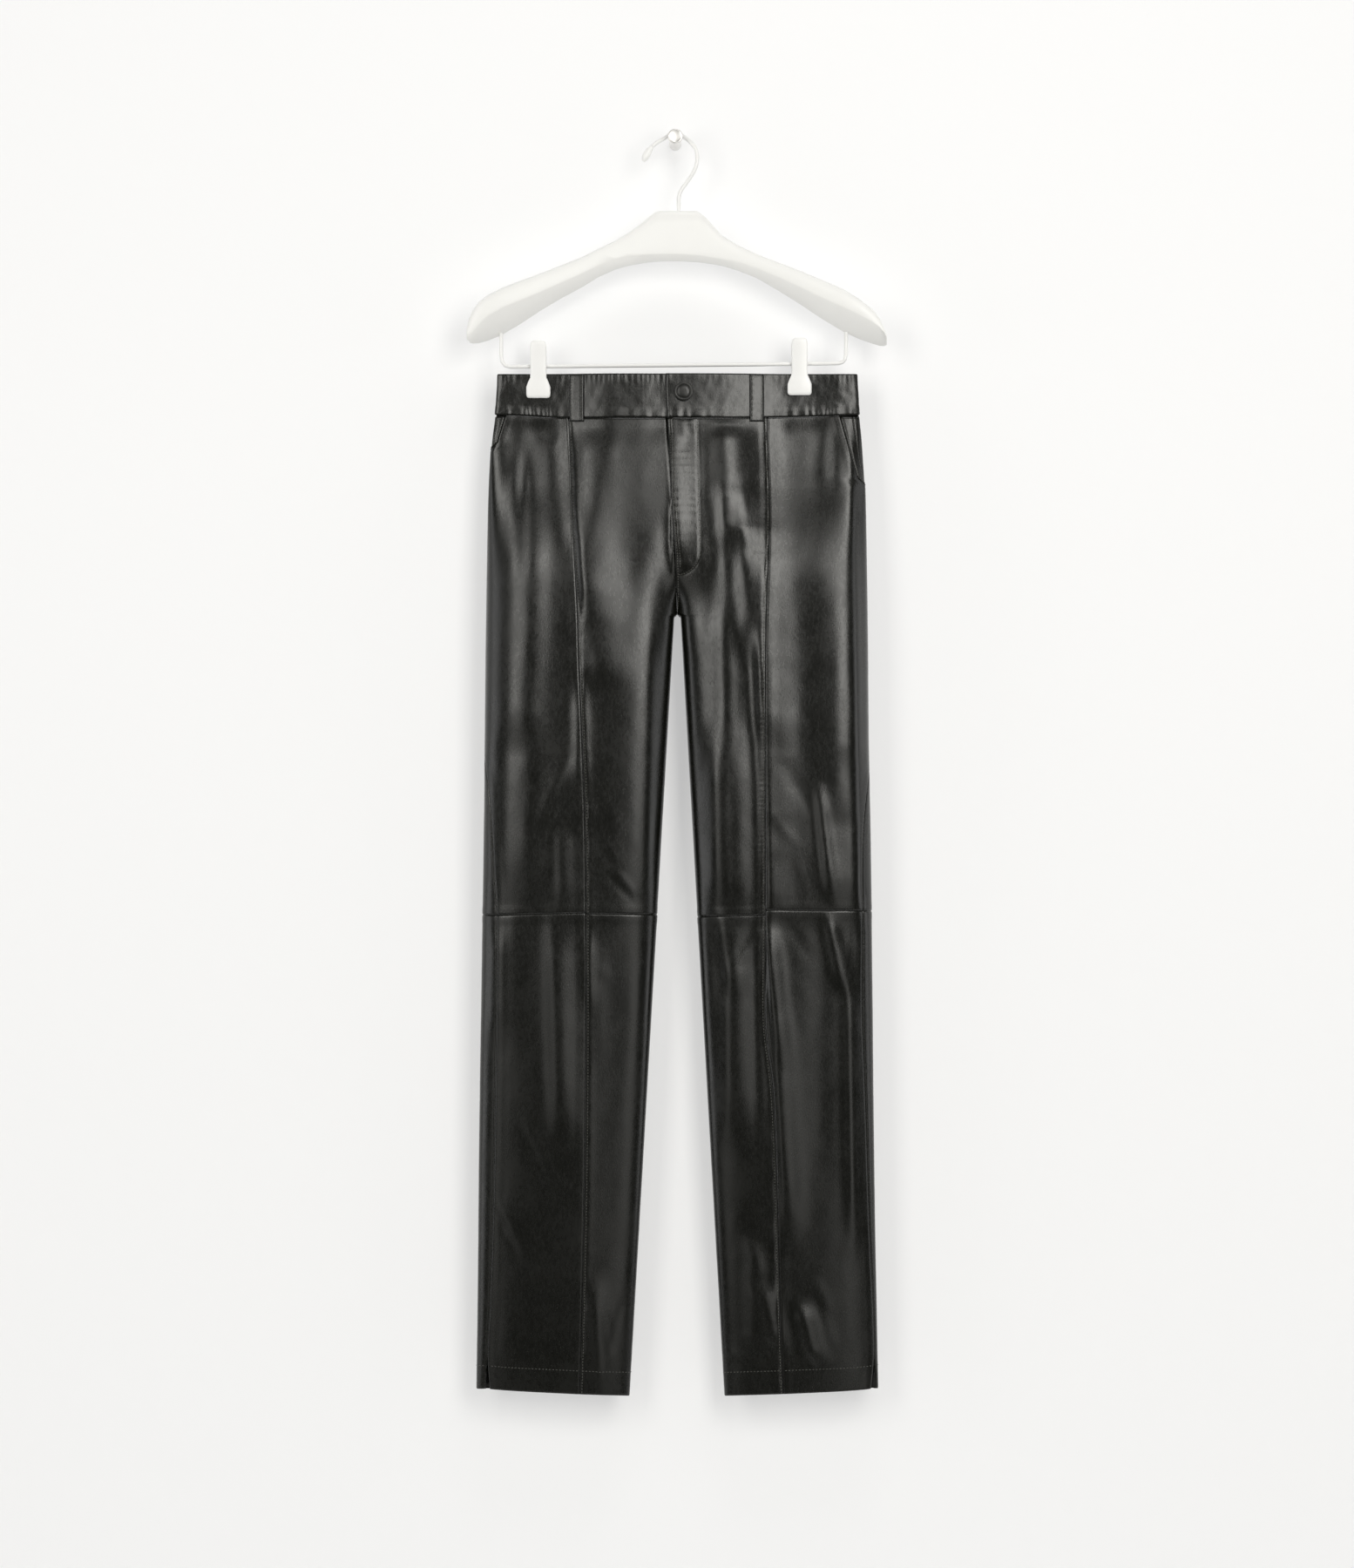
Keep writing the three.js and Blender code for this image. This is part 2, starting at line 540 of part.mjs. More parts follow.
// Hook: wire from the top of the hanger up and over the peg, with a sleeve on its end.
const HOOK = [
  [779, 242.1], [779, 234], [779.2, 226], [782, 218], [789, 208.3], [796.5, 196.6], [799.6, 188],
  [800.3, 180], [798.6, 171.6], [793, 164], [787, 158.7], [781, 154.6], [775, 153.1], [769, 154.4],
  [762.8, 158.6], [754, 163.6], [748.5, 168.2],
];
const inPlane = (rows) => rows.map(([c, r]) => [mmX(c), mmZ(r)]);
add("hanger_hook", wire(inPlane(HOOK), MID_Y, WIRE_R, 10), "steel");
add("hook_sleeve",
  wire(inPlane([[748, 168.6], [747.4, 169.4], [744.6, 173.2], [740.6, 180.6], [739, 183.8], [738.4, 185]]),
    MID_Y, [2.2, 3.2, 3.7, 3.8, 3.2, 1.6], 12), "white");

// Trouser bar: one bent wire between the two undersides.
const barEnd = (column) => [mmX(column), undersideZ(column) - 0.4 - WIRE_R * 0.6];
add("trouser_bar",
  wire([barEnd(575.3), ...inPlane([[575.3, 409], [576.4, 415], [579.5, 419.3], [585, 421], [690, 420],
    [862, 418.4], [962, 417], [967, 415.6], [970, 412], [971, 406]]), barEnd(971)], MID_Y, WIRE_R, 10),
  "steel");

// Clips: two levers held against the waistband, and the sleeve round the bar that they turn on.
const LEVER = [
  // height, half width, inner face, outer face
  [-32, 9.6, 2.9, 5.4], [-31.2, 11.2, 2.45, 6.0], [-29, 12.05, 2.45, 6.4], [-21, 12.05, 2.45, 6.9],
  [-16, 10.2, 2.45, 7.2], [-11.7, 8.2, 2.45, 7.4], [-7, 8.0, 4.9, 8.0], [4, 8.0, 4.9, 8.6],
  [12, 8.0, 5.6, 9.4], [20, 8.0, 6.8, 10.4], [23.4, 7.0, 7.4, 10.7], [25, 4.8, 8.0, 10.3],
];
CLIP_COLUMNS.forEach((column, i) => {
  const tag = i ? "l" : "r";
  const x = mmX(column);
  const z = mmZ(lerp(421, 417, (column - 583) / 379));
  for (const [name, way] of [["clip_front_", -1], ["clip_back_", 1]])
    add(name + tag,
      loft(LEVER.map(([up, wide, inside, outside]) => {
        const [n, f] = [MID_Y + way * inside, MID_Y + way * outside];
        const c = f - way * 1.1;
        return [
          [x - wide, n, z + up], [x + wide, n, z + up], [x + wide, c, z + up],
          [x + wide - 1.1, f, z + up], [x - wide + 1.1, f, z + up], [x - wide, c, z + up],
        ];
      })), "white");
  add("clip_core_" + tag,
    loft(Array.from({ length: 12 }, (_, k) => {
      const angle = (2 * Math.PI * k) / 12;
      const at = (r, side) => [x + side * 6.5, MID_Y + r * Math.cos(angle), z + r * Math.sin(angle)];
      return [at(2.6, -1), at(4.5, -1), at(4.5, 1), at(2.6, 1)];
    }), true), "white");
});

// Wall peg: a turned pin with a waist for the hook and a round head.
add("wall_peg",
  turned([[6.3, 0], [6.3, 2], [5.4, 8], [3.8, 22], [2.6, 32], [2.6, 43], [4.6, 45.4], [7.4, 46.6],
    [7.5, 51.6], [6.9, 52.6], [5.9, 52.8], [5.5, 52.2]], [0, 0, 0], 20), "steel");

export default group;
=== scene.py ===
import math
import bpy
import numpy as np
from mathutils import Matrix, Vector


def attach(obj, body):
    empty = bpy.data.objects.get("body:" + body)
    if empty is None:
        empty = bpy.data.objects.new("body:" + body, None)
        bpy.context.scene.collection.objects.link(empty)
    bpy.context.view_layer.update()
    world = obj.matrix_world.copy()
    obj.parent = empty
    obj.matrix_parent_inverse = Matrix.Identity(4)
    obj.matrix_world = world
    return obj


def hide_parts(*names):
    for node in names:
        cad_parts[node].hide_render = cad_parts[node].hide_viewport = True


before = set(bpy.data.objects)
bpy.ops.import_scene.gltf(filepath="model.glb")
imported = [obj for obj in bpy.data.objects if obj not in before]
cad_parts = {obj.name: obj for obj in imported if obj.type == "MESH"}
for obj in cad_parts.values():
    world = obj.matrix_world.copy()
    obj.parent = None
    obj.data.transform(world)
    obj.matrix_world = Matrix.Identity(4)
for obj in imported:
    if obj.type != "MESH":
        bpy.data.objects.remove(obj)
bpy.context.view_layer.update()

# Leather trousers in the two clips of a hanger on a wall peg. Metres, +Z up, wall at Y = 0, the front
# of the trousers towards -Y. Side -1 is the wearer's right, side 1 the wearer's left.
MM = 0.001
MM_PER_PX = 0.87
AXIS_PX, AXIS_PY = 775.0, 158.8
MID_Y = -38.0
SEAM_GAP = 0.04
PANEL_WALL, BAND_WALL, HEM_WALL = 1.3, 2.4, 2.3
ROUNDNESS = 2.8
BAND_TOP, KNEE, CROTCH, HIP_TOP, SLIT_TOP = 429.5, 1049.0, 707.0, 560.0, 1550.0
CLIP_COLUMNS = (618.0, 917.5)
CENTRE_BACK = 777.5


def mm_x(column):
    return (column - AXIS_PX) * MM_PER_PX


def mm_z(row):
    return (AXIS_PY - row) * MM_PER_PX


def column_of(x):
    return x / MM_PER_PX + AXIS_PX


def mix(a, b, t):
    return a + (b - a) * t


def smooth(a, b, value):
    t = np.clip((np.asarray(value, float) - a) / (b - a), 0.0, 1.0)
    return t * t * (3 - 2 * t)


class Line:
    """A smooth line through rows of (key, value), flat beyond its ends."""

    def __init__(self, *rows):
        self.key = np.array([r[0] for r in rows], float)
        self.value = np.array([r[1] for r in rows], float)
        last = len(rows) - 1
        before = [max(0, i - 1) for i in range(last + 1)]
        after = [min(last, i + 1) for i in range(last + 1)]
        self.slope = (self.value[after] - self.value[before]) / (self.key[after] - self.key[before])

    def __call__(self, key):
        key = np.clip(np.asarray(key, float), self.key[0], self.key[-1])
        i = np.clip(np.searchsorted(self.key, key, side="right") - 1, 0, len(self.key) - 2)
        wide = self.key[i + 1] - self.key[i]
        t = (key - self.key[i]) / wide
        return (
            (1 + 2 * t) * (1 - t) ** 2 * self.value[i]
            + t * (1 - t) ** 2 * wide * self.slope[i]
            + t * t * (3 - 2 * t) * self.value[i + 1]
            + t * t * (t - 1) * wide * self.slope[i + 1]
        )


# Outlines and seams in picture rows and columns: (row, column).
OUTER = {
    -1: Line((429, 571), (476, 568), (500, 565), (520, 563), (560, 561), (600, 560), (720, 558),
             (900, 556), (1100, 553), (1300, 550), (1500, 548), (1600, 546.5)),
    1: Line((429, 984), (480, 987), (500, 989), (520, 990.5), (560, 993), (600, 994), (740, 996),
            (860, 997), (940, 999), (1100, 1001), (1300, 1003), (1500, 1006), (1600, 1008)),
}
INNER = {-1: Line((CROTCH, 774), (1600, 722.5)), 1: Line((CROTCH, 781), (1600, 831.5))}
OPENING = Line((428, 764), (478, 766), (561, 770), (639, 775), (662, 776), (CROTCH, 777.5))
FRONT_SEAM = {
    -1: Line((480, 652.5), (598, 657), (700, 663), (760, 665), (907, 671), (1045, 673),
             (1320, 672), (1517, 668), (1600, 665.5)),
    1: Line((480, 880.6), (597, 883), (700, 879), (760, 878), (906, 877.5), (1066, 878),
            (1173, 878), (1246, 886), (1320, 890), (1495, 895), (1600, 899)),
}
# How far in front of the silhouette the side seam runs, in mm; below zero it is behind.
SIDE_SEAM_IN = {
    -1: Line((480, -4), (820, -4), (930, 7), (999, 11.5), (1045, 15), (1320, 16), (1495, 13),
             (1552, 11), (1600, 14.5)),
    1: Line((480, -4), (840, -4), (953, 8), (1045, 9.5), (1154, 11), (1259, 8.5), (1408, 6),
            (1545, 3), (1600, 8)),
}
POCKET = {
    -1: {"inner": Line((478, 580), (512, 569)), "outer": Line((478, 574), (512, 564.5)), "end": 507.0},
    1: {"inner": Line((478, 964), (558, 987)), "outer": Line((478, 971), (558, 992.3)), "end": 548.0},
}
WAIST_SEAM = Line((560, 476), (600, 477.5), (652, 480), (850, 480), (940, 478), (995, 476))
FLY_STITCH = Line((480, 800), (561, 801.5), (630, 803), (645, 799), (658, 787))
HALF_DEPTH = Line((429, 9), (478, 11), (520, 16.5), (560, 21), (620, 25.5), (700, 27.5), (800, 27.5),
                  (900, 26), (KNEE, 23), (1200, 20.5), (1400, 18), (1560, 15.5), (1605, 14.5))

# Broad folds: column, row, column, row, width to the left and right in pixels, height in mm (below
# zero a valley). The light comes from the right, so the right flank of a fold carries the sheen.
FRONT_FOLDS = (
    # wearer's right leg
    (594, 490, 604, 600, 40, 26, 4.4), (604, 600, 602, 720, 40, 26, 4.8),
    (602, 720, 594, 840, 38, 26, 4.4),
    (606, 840, 600, 1020, 34, 26, 2.6), (662, 500, 666, 600, 8, 30, 4.6),
    (667, 600, 676, 700, 8, 30, 5.0), (676, 700, 690, 780, 14, 28, 2.4),
    (744, 720, 738, 1030, 42, 12, 3.6), (666, 800, 664, 900, 8, 12, 1.6),
    (644, 950, 646, 1036, 8, 12, 1.8),
    (636, 1060, 642, 1290, 12, 18, 3.2), (572, 1070, 572, 1180, 10, 14, 2.0),
    (676, 1080, 678, 1150, 6, 8, 1.2),
    (684, 1480, 690, 1597, 10, 12, 2.6), (700, 1100, 700, 1440, 24, 24, -1.4),
    # wearer's left leg
    (772, 490, 774, 650, 4, 16, 2.0),
    (834, 490, 842, 560, 24, 34, 3.8), (842, 560, 854, 620, 26, 32, 5.0),
    (854, 620, 870, 740, 20, 34, 5.0),
    (872, 740, 880, 840, 12, 32, 4.6), (880, 840, 884, 960, 9, 32, 4.0),
    (884, 960, 886, 1045, 9, 26, 3.2),
    (828, 700, 830, 850, 14, 14, 1.8), (822, 850, 824, 1040, 16, 28, 5.0),
    (972, 500, 980, 700, 48, 10, 9.5), (980, 700, 984, 900, 48, 10, 10.5),
    (982, 900, 982, 1040, 40, 10, 6.5),
    (956, 470, 958, 560, 10, 10, 2.2),
    (938, 910, 950, 1020, 6, 8, 2.2), (828, 1056, 838, 1130, 8, 16, 3.0),
    (836, 1130, 836, 1290, 10, 16, 3.0),
    (880, 1066, 892, 1200, 5, 12, 3.2), (892, 1200, 904, 1400, 7, 14, 3.0),
    (950, 1056, 966, 1130, 8, 10, 2.6), (974, 1130, 978, 1400, 8, 10, 2.8),
    (866, 1070, 870, 1290, 9, 9, -1.8),
    (938, 1100, 944, 1350, 14, 14, -1.0), (918, 1500, 934, 1560, 8, 14, 3.0),
    (878, 1480, 886, 1540, 8, 12, 2.8),
    (862, 1430, 866, 1540, 8, 12, 2.0),
)
BACK_FOLDS = (
    (620, 560, 606, 1010, 24, 20, 2.8), (690, 700, 700, 1000, 22, 18, -2.2),
    (640, 1080, 650, 1420, 24, 18, 2.2),
    (930, 560, 944, 1010, 20, 24, 2.8), (860, 700, 850, 1000, 18, 22, -2.2),
    (900, 1090, 890, 1440, 18, 24, 2.2),
    (742, 560, 730, 700, 16, 22, 2.4), (812, 570, 826, 690, 22, 16, 2.2),
)


def broad_folds(folds, column, row):
    total = np.zeros(np.broadcast(column, row).shape)
    for x0, y0, x1, y1, left, right, high in folds:
        along = (row - y0) / (y1 - y0)
        off = column - mix(x0, x1, along)
        off = np.where(off < 0, off / left, off / right)
        total += high * np.exp(-off * off) * smooth(-0.25, 0.25, along) * smooth(1.25, 0.75, along)
    return total


def pinch(column, row):
    most = np.zeros(np.broadcast(column, row).shape)
    for clip in CLIP_COLUMNS:
        most = np.maximum(most, smooth(90, 12, np.abs(column - clip)))
    return most * smooth(680, 446, row)


def lap(side, column, row):
    off = side * (column - OPENING(row))
    down = smooth(700, 640, row)
    band = smooth(512, 482, row)
    if side > 0:
        wide, start = mix(46, 84, band), mix(0, 32, band)
        t = np.clip((off - wide) / (start - wide), 0, 1)
        return mix(0.9, 1.6, band) * down * t * t * (3 - 2 * t)
    return -mix(0.7, 1.3, band) * down * smooth(34, 0, off)


def openness(row):
    up = np.clip((CROTCH - np.asarray(row, float)) / (CROTCH - HIP_TOP), 0, 1)
    return up * up


def cloth(side, v, row, inset=0.0):
    """Points of the cloth in mm: v runs from the centre front (0) over the side (1) to the centre
    back (2)."""
    v, row = np.broadcast_arrays(np.asarray(v, float), np.asarray(row, float))
    behind = v > 1
    w = np.where(behind, 2 - v, v)
    opened = openness(row)
    t = mix((1 - np.cos(np.pi * w)) / 2, np.sin(np.pi * w / 2), opened)
    centre = np.where(
        behind, mix(CENTRE_BACK, OPENING(row), smooth(600, CROTCH, row)), OPENING(row)
    )
    joined = mm_x(centre) + side * SEAM_GAP / 2
    up = np.clip((row - CROTCH) / 3, 0, 1)
    arch = np.sqrt(np.clip(1 - (1 - up) ** 2, 0, 1))
    middle = mm_x(OPENING(CROTCH)) + side * SEAM_GAP / 2
    apart = mix(middle, mm_x(INNER[side](row)), arch)
    eased = mix(middle, mm_x(INNER[side](row)), smooth(CROTCH - 1, CROTCH + 60, row))
    near = side * inset * (1 - opened)
    inner = np.where(row < CROTCH, joined, apart) + near
    inner_eased = np.where(row < CROTCH, joined, eased) + near
    outer = mm_x(OUTER[side](row)) - side * inset
    x = inner_eased + t * (outer - inner_eased)
    x = x + (inner - inner_eased) * np.exp(-np.abs(x - inner_eased) / 7)
    across = np.minimum(1, np.abs(2 * (t + opened) / (1 + opened) - 1))
    round_ = (1 - across**ROUNDNESS) ** (1 / ROUNDNESS)
    column = column_of(x)
    flat = pinch(column, row)
    wall = np.where(row < 479, BAND_WALL, mix(BAND_WALL, PANEL_WALL, smooth(479, 500, row)))
    half = mix(round_ * HALF_DEPTH(row), wall * round_ + SEAM_GAP / 2, flat)
    calm = round_ * (1 - flat)
    front = broad_folds(FRONT_FOLDS, column, row) + lap(side, column, row)
    half = half + np.where(behind, broad_folds(BACK_FOLDS, column, row), front) * calm
    half = half - inset * round_
    return np.stack([x, MID_Y + np.where(behind, half, -half), mm_z(row)], axis=-1)


def at_column(side, column, row):
    """v of the front point in a picture column."""
    column, row = np.broadcast_arrays(np.asarray(column, float), np.asarray(row, float))
    low = np.where(side * (column - OPENING(row)) < 0, -0.5, 0.0)
    high = np.ones_like(low)
    for _ in range(34):
        middle = (low + high) / 2
        short = side * (column_of(cloth(side, middle, row)[..., 0]) - column) < 0
        low, high = np.where(short, middle, low), np.where(short, high, middle)
    return (low + high) / 2


def walk(side, v, row, length):
    """v moved by a length in mm along the section."""
    step = 0.004 * np.sign(length) + (np.asarray(length) == 0) * 0.004
    gone = np.linalg.norm(cloth(side, v + step, row) - cloth(side, v, row), axis=-1)
    return v + step * np.abs(length) / gone


def side_seam(side, row):
    within = SIDE_SEAM_IN[side](row)
    front = at_column(side, column_of(mm_x(OUTER[side](row)) - side * np.maximum(within, 0)), row)
    return np.where(within < 0, walk(side, np.ones_like(front), row, -np.minimum(within, -1e-6)), front)


HALF = SEAM_GAP / 2


def centre_front(side):
    return lambda row: np.where(row > CROTCH, walk(side, np.zeros_like(row), row, HALF), 0.0)


def centre_back(side):
    return lambda row: np.where(row > CROTCH, walk(side, np.full_like(row, 2.0), row, -HALF), 2.0)


def before_seam(side):
    return lambda row: walk(side, at_column(side, FRONT_SEAM[side](row), row), row, -HALF)


def after_seam(side):
    return lambda row: walk(side, at_column(side, FRONT_SEAM[side](row), row), row, HALF)


def back_seam(side, beside):
    return lambda row: walk(side, 2 - at_column(side, FRONT_SEAM[side](row), row), row, beside)


def side_front_edge(side):
    return lambda row: walk(side, side_seam(side, row), row, -HALF)


def side_back_edge(side):
    return lambda row: walk(side, side_seam(side, row), row, HALF + 7 * smooth(SLIT_TOP, 1596, row))


def panel_side_edge(side):
    pocket = POCKET[side]
    end = pocket["end"]

    def edge(row):
        along = walk(side, at_column(side, pocket["inner"](np.minimum(row, end)), row), row, -HALF)
        low = walk(side, at_column(side, pocket["inner"](end), row), row, -HALF)
        below = mix(low, side_front_edge(side)(row), smooth(end, end + 14, row))
        return np.where(row < end, along, below)

    return edge


# Creases: column, row, column, row, width in pixels, height in mm (below zero a groove).
FRONT_CREASES = (
    # wearer's right leg, above the knee
    (601, 484, 592, 560, 6, 1.3), (592, 560, 588, 660, 8, 1.1), (603, 492, 613, 560, 7, 1.1),
    (613, 560, 617, 660, 9, 1.0), (602, 520, 602, 650, 5, -0.9), (588, 660, 584, 860, 13, 0.9),
    (616, 660, 610, 860, 12, 0.8), (601, 690, 598, 830, 6, -0.4), (582, 880, 583, 1010, 10, 1.0),
    (631, 505, 634, 700, 7, -0.5), (646, 506, 640, 524, 4, 0.6), (620, 505, 636, 500, 5, 0.5),
    (668, 492, 676, 560, 9, 0.7), (685, 560, 694, 640, 12, 0.9), (700, 640, 705, 760, 13, 0.9),
    (728, 600, 726, 700, 9, -0.5), (738, 640, 735, 860, 9, 0.5), (751, 760, 746, 1020, 7, 0.8),
    (762, 600, 766, 690, 6, -1.0), (769, 630, 770, 690, 4, 0.5),
    (650, 872, 620, 941, 5, -1.0), (657, 880, 628, 950, 5, 0.7), (658, 890, 660, 1038, 8, 0.8),
    (640, 950, 642, 1040, 7, -0.7), (687, 918, 698, 944, 3.5, -0.9), (691, 914, 703, 940, 3.5, 0.7),
    (689, 968, 703, 992, 3.5, -0.9), (694, 964, 708, 988, 3.5, 0.7), (701, 1006, 725, 1031, 3.5, -1.0),
    (707, 1002, 731, 1026, 4, 0.8), (716, 900, 722, 990, 8, -0.6), (604, 950, 612, 1030, 8, 0.5),
    # wearer's right leg, below the knee
    (590, 1062, 594, 1180, 7, 0.9), (606, 1070, 606, 1200, 8, -0.6), (655, 1060, 651, 1180, 9, 1.0),
    (648, 1180, 655, 1300, 9, 0.9), (628, 1060, 630, 1290, 9, -0.7), (690, 1090, 688, 1200, 5, 0.7),
    (690, 1108, 696, 1122, 3, 0.6), (735, 1070, 728, 1200, 8, 0.6), (712, 1080, 708, 1260, 9, -0.5),
    (606, 1288, 632, 1342, 4.5, 1.0), (601, 1296, 626, 1350, 4, -0.7), (577, 1386, 602, 1434, 4.5, 1.0),
    (572, 1394, 596, 1442, 4, -0.7), (630, 1345, 664, 1372, 5, 0.6), (604, 1436, 660, 1470, 6, 0.6),
    (650, 1390, 652, 1530, 9, 0.6), (689, 1498, 700, 1546, 3.5, -0.8),
    (713, 1498, 702, 1546, 3.5, -0.8),
    (694, 1500, 701, 1536, 3, 0.6), (576, 1470, 584, 1550, 8, 0.5), (618, 1480, 622, 1560, 9, -0.5),
    # wearer's left leg, above the knee
    (812, 520, 806, 600, 6, -0.6), (817, 600, 818, 850, 7, -0.8), (829, 574, 833, 680, 5, 1.3),
    (833, 680, 838, 860, 8, 1.0), (843, 560, 846, 640, 5, -0.9), (852, 590, 856, 720, 8, 0.6),
    (824, 870, 828, 1030, 9, 0.9), (850, 880, 852, 1040, 9, 0.8), (838, 900, 840, 1030, 5, -0.5),
    (862, 700, 861, 860, 6, -1.2), (862, 860, 864, 1040, 7, -0.9), (871, 600, 872, 860, 6, 0.7),
    (894, 540, 896, 700, 9, 0.8), (905, 700, 903, 880, 10, 0.8), (898, 876, 914, 904, 6, -0.9),
    (914, 904, 938, 934, 6, -0.7), (884, 934, 912, 968, 4, 0.6), (890, 950, 900, 1036, 8, -0.6),
    (930, 500, 924, 560, 8, 0.6), (951, 486, 940, 540, 8, -0.7), (941, 918, 958, 1024, 5, 1.2),
    (932, 930, 946, 1030, 6, -0.9), (966, 940, 972, 1030, 6, -0.6), (955, 560, 950, 880, 8, -0.6),
    (973, 560, 972, 660, 5, 0.9), (974, 660, 978, 820, 6, 1.1), (978, 820, 978, 1040, 7, 1.0),
    (988, 600, 989, 880, 4, -0.9), (915, 980, 926, 1036, 5, 0.6),
    # wearer's left leg, below the knee
    (846, 1060, 843, 1140, 7, 0.9), (862, 1064, 846, 1094, 4, -1.0), (868, 1070, 853, 1100, 4, 0.7),
    (845, 1140, 850, 1250, 9, 0.8), (887, 1062, 893, 1120, 6, 0.8), (893, 1120, 904, 1210, 7, 1.0),
    (904, 1210, 914, 1400, 9, 0.9), (874, 1080, 880, 1260, 7, -0.9), (905, 1060, 926, 1096, 4, -0.6),
    (951, 1056, 968, 1100, 6, 0.9), (968, 1100, 977, 1180, 6, 0.9), (978, 1180, 981, 1390, 7, 0.8),
    (940, 1070, 950, 1180, 8, -0.6), (925, 1200, 932, 1400, 10, -0.6), (866, 1300, 870, 1420, 9, -0.5),
    (860, 1424, 876, 1462, 5, 0.9), (866, 1480, 884, 1512, 5, 0.9), (856, 1444, 870, 1482, 5, -0.7),
    (858, 1530, 880, 1556, 5, 0.8), (936, 1468, 950, 1500, 5, 0.8), (944, 1504, 956, 1542, 5, 0.8),
    (934, 1488, 944, 1520, 4, -0.6), (832, 1548, 856, 1560, 4, 0.7), (970, 1420, 974, 1530, 7, 0.5),
    # fly
    (783, 484, 786, 502, 4, 1.0), (792, 484, 797, 496, 4, 0.9), (789, 500, 785, 520, 4, -0.5),
    (779, 650, 792, 646, 4, 0.9), (784, 660, 800, 650, 5, -1.0), (786, 672, 792, 700, 5, 0.6),
    (775, 650, 782, 656, 3, -0.6),
)
BACK_CREASES = (
    (600, 500, 592, 640, 8, 1.0), (612, 560, 616, 700, 8, -0.7), (640, 520, 646, 640, 9, 0.7),
    (690, 560, 700, 690, 12, 0.9), (722, 640, 748, 704, 7, -1.0), (730, 634, 756, 700, 6, 0.8),
    (700, 720, 742, 752, 6, -0.8), (704, 712, 746, 744, 6, 0.6), (620, 760, 612, 980, 11, 0.9),
    (660, 800, 664, 980, 10, -0.6), (720, 820, 716, 1000, 9, 0.6), (610, 960, 650, 1000, 5, -0.8),
    (616, 952, 656, 992, 5, 0.7), (668, 990, 712, 1022, 5, -0.8), (674, 982, 718, 1014, 5, 0.7),
    (600, 1080, 640, 1108, 5, 0.8), (606, 1090, 646, 1118, 5, -0.6), (650, 1130, 646, 1330, 11, 0.8),
    (690, 1100, 686, 1300, 10, -0.5), (590, 1200, 594, 1420, 10, 0.6), (612, 1400, 650, 1432, 5, 0.7),
    (660, 1440, 696, 1410, 5, 0.6), (620, 1500, 624, 1570, 9, 0.6), (680, 1490, 676, 1570, 8, -0.5),
    (950, 500, 958, 640, 8, 1.0), (938, 560, 934, 720, 8, -0.7), (905, 520, 898, 660, 9, 0.7),
    (860, 570, 852, 690, 12, 0.9), (832, 640, 804, 704, 7, -1.0), (824, 634, 798, 700, 6, 0.8),
    (852, 716, 812, 750, 6, -0.8), (848, 708, 808, 742, 6, 0.6), (934, 780, 940, 990, 11, 0.9),
    (890, 800, 886, 1000, 10, -0.6), (838, 800, 842, 990, 9, 0.6), (944, 950, 904, 996, 5, -0.8),
    (938, 942, 898, 988, 5, 0.7), (884, 984, 842, 1024, 5, -0.8), (878, 976, 836, 1016, 5, 0.7),
    (950, 1086, 912, 1112, 5, 0.8), (900, 1130, 906, 1350, 11, 0.8), (866, 1100, 870, 1290, 10, -0.5),
    (970, 1180, 966, 1430, 10, 0.6), (940, 1410, 900, 1438, 5, 0.7), (880, 1430, 850, 1404, 5, 0.6),
    (930, 1500, 926, 1570, 9, 0.6), (872, 1490, 876, 1570, 8, -0.5),
)


def creases(table, column, row):
    """Height in mm of soft ridges and grooves along short slanted lines."""
    total = np.zeros(np.broadcast(column, row).shape)
    for x0, y0, x1, y1, wide, high in table:
        long = math.hypot(x1 - x0, y1 - y0)
        ux, uy = (x1 - x0) / long, (y1 - y0) / long
        along = ((column - x0) * ux + (row - y0) * uy) / long
        off = ((column - x0) * uy - (row - y0) * ux) / (wide * 1.25)
        near = (along > -0.3) & (along < 1.3) & (np.abs(off) < 3)
        if not near.any():
            continue
        a, o = along[near], off[near]
        total[near] += high * np.exp(-o * o) * smooth(-0.3, 0.2, a) * smooth(1.3, 0.8, a)
    return total


def uneven(column, row, size):
    """A restless surface with no pattern to it, between about -1 and 1; size in pixels."""
    x, y = column / size, row / size
    return (
        np.sin(1.1 * x + 0.6 * np.sin(0.7 * y + 1.3)) * np.sin(0.35 * y + 0.9 * np.sin(0.5 * x))
        + 0.6 * np.sin(2.3 * x + 0.8 * y + 1.7 * np.sin(0.31 * y + 2.0))
        + 0.4 * np.sin(1.7 * y - 1.2 * x + 1.1 * np.sin(0.9 * x + 0.4))
    ) / 2


def fly_curve(count=120):
    """Columns and rows of the curved stitch line of the fly, from the waistband round to the edge."""
    down = np.linspace(480, 634, count)
    turn = np.linspace(0, math.pi / 2, count // 2)[1:]
    return (np.concatenate([FLY_STITCH(down), 777 + 26 * np.cos(turn)]),
            np.concatenate([down, 634 + 27 * np.sin(turn)]))


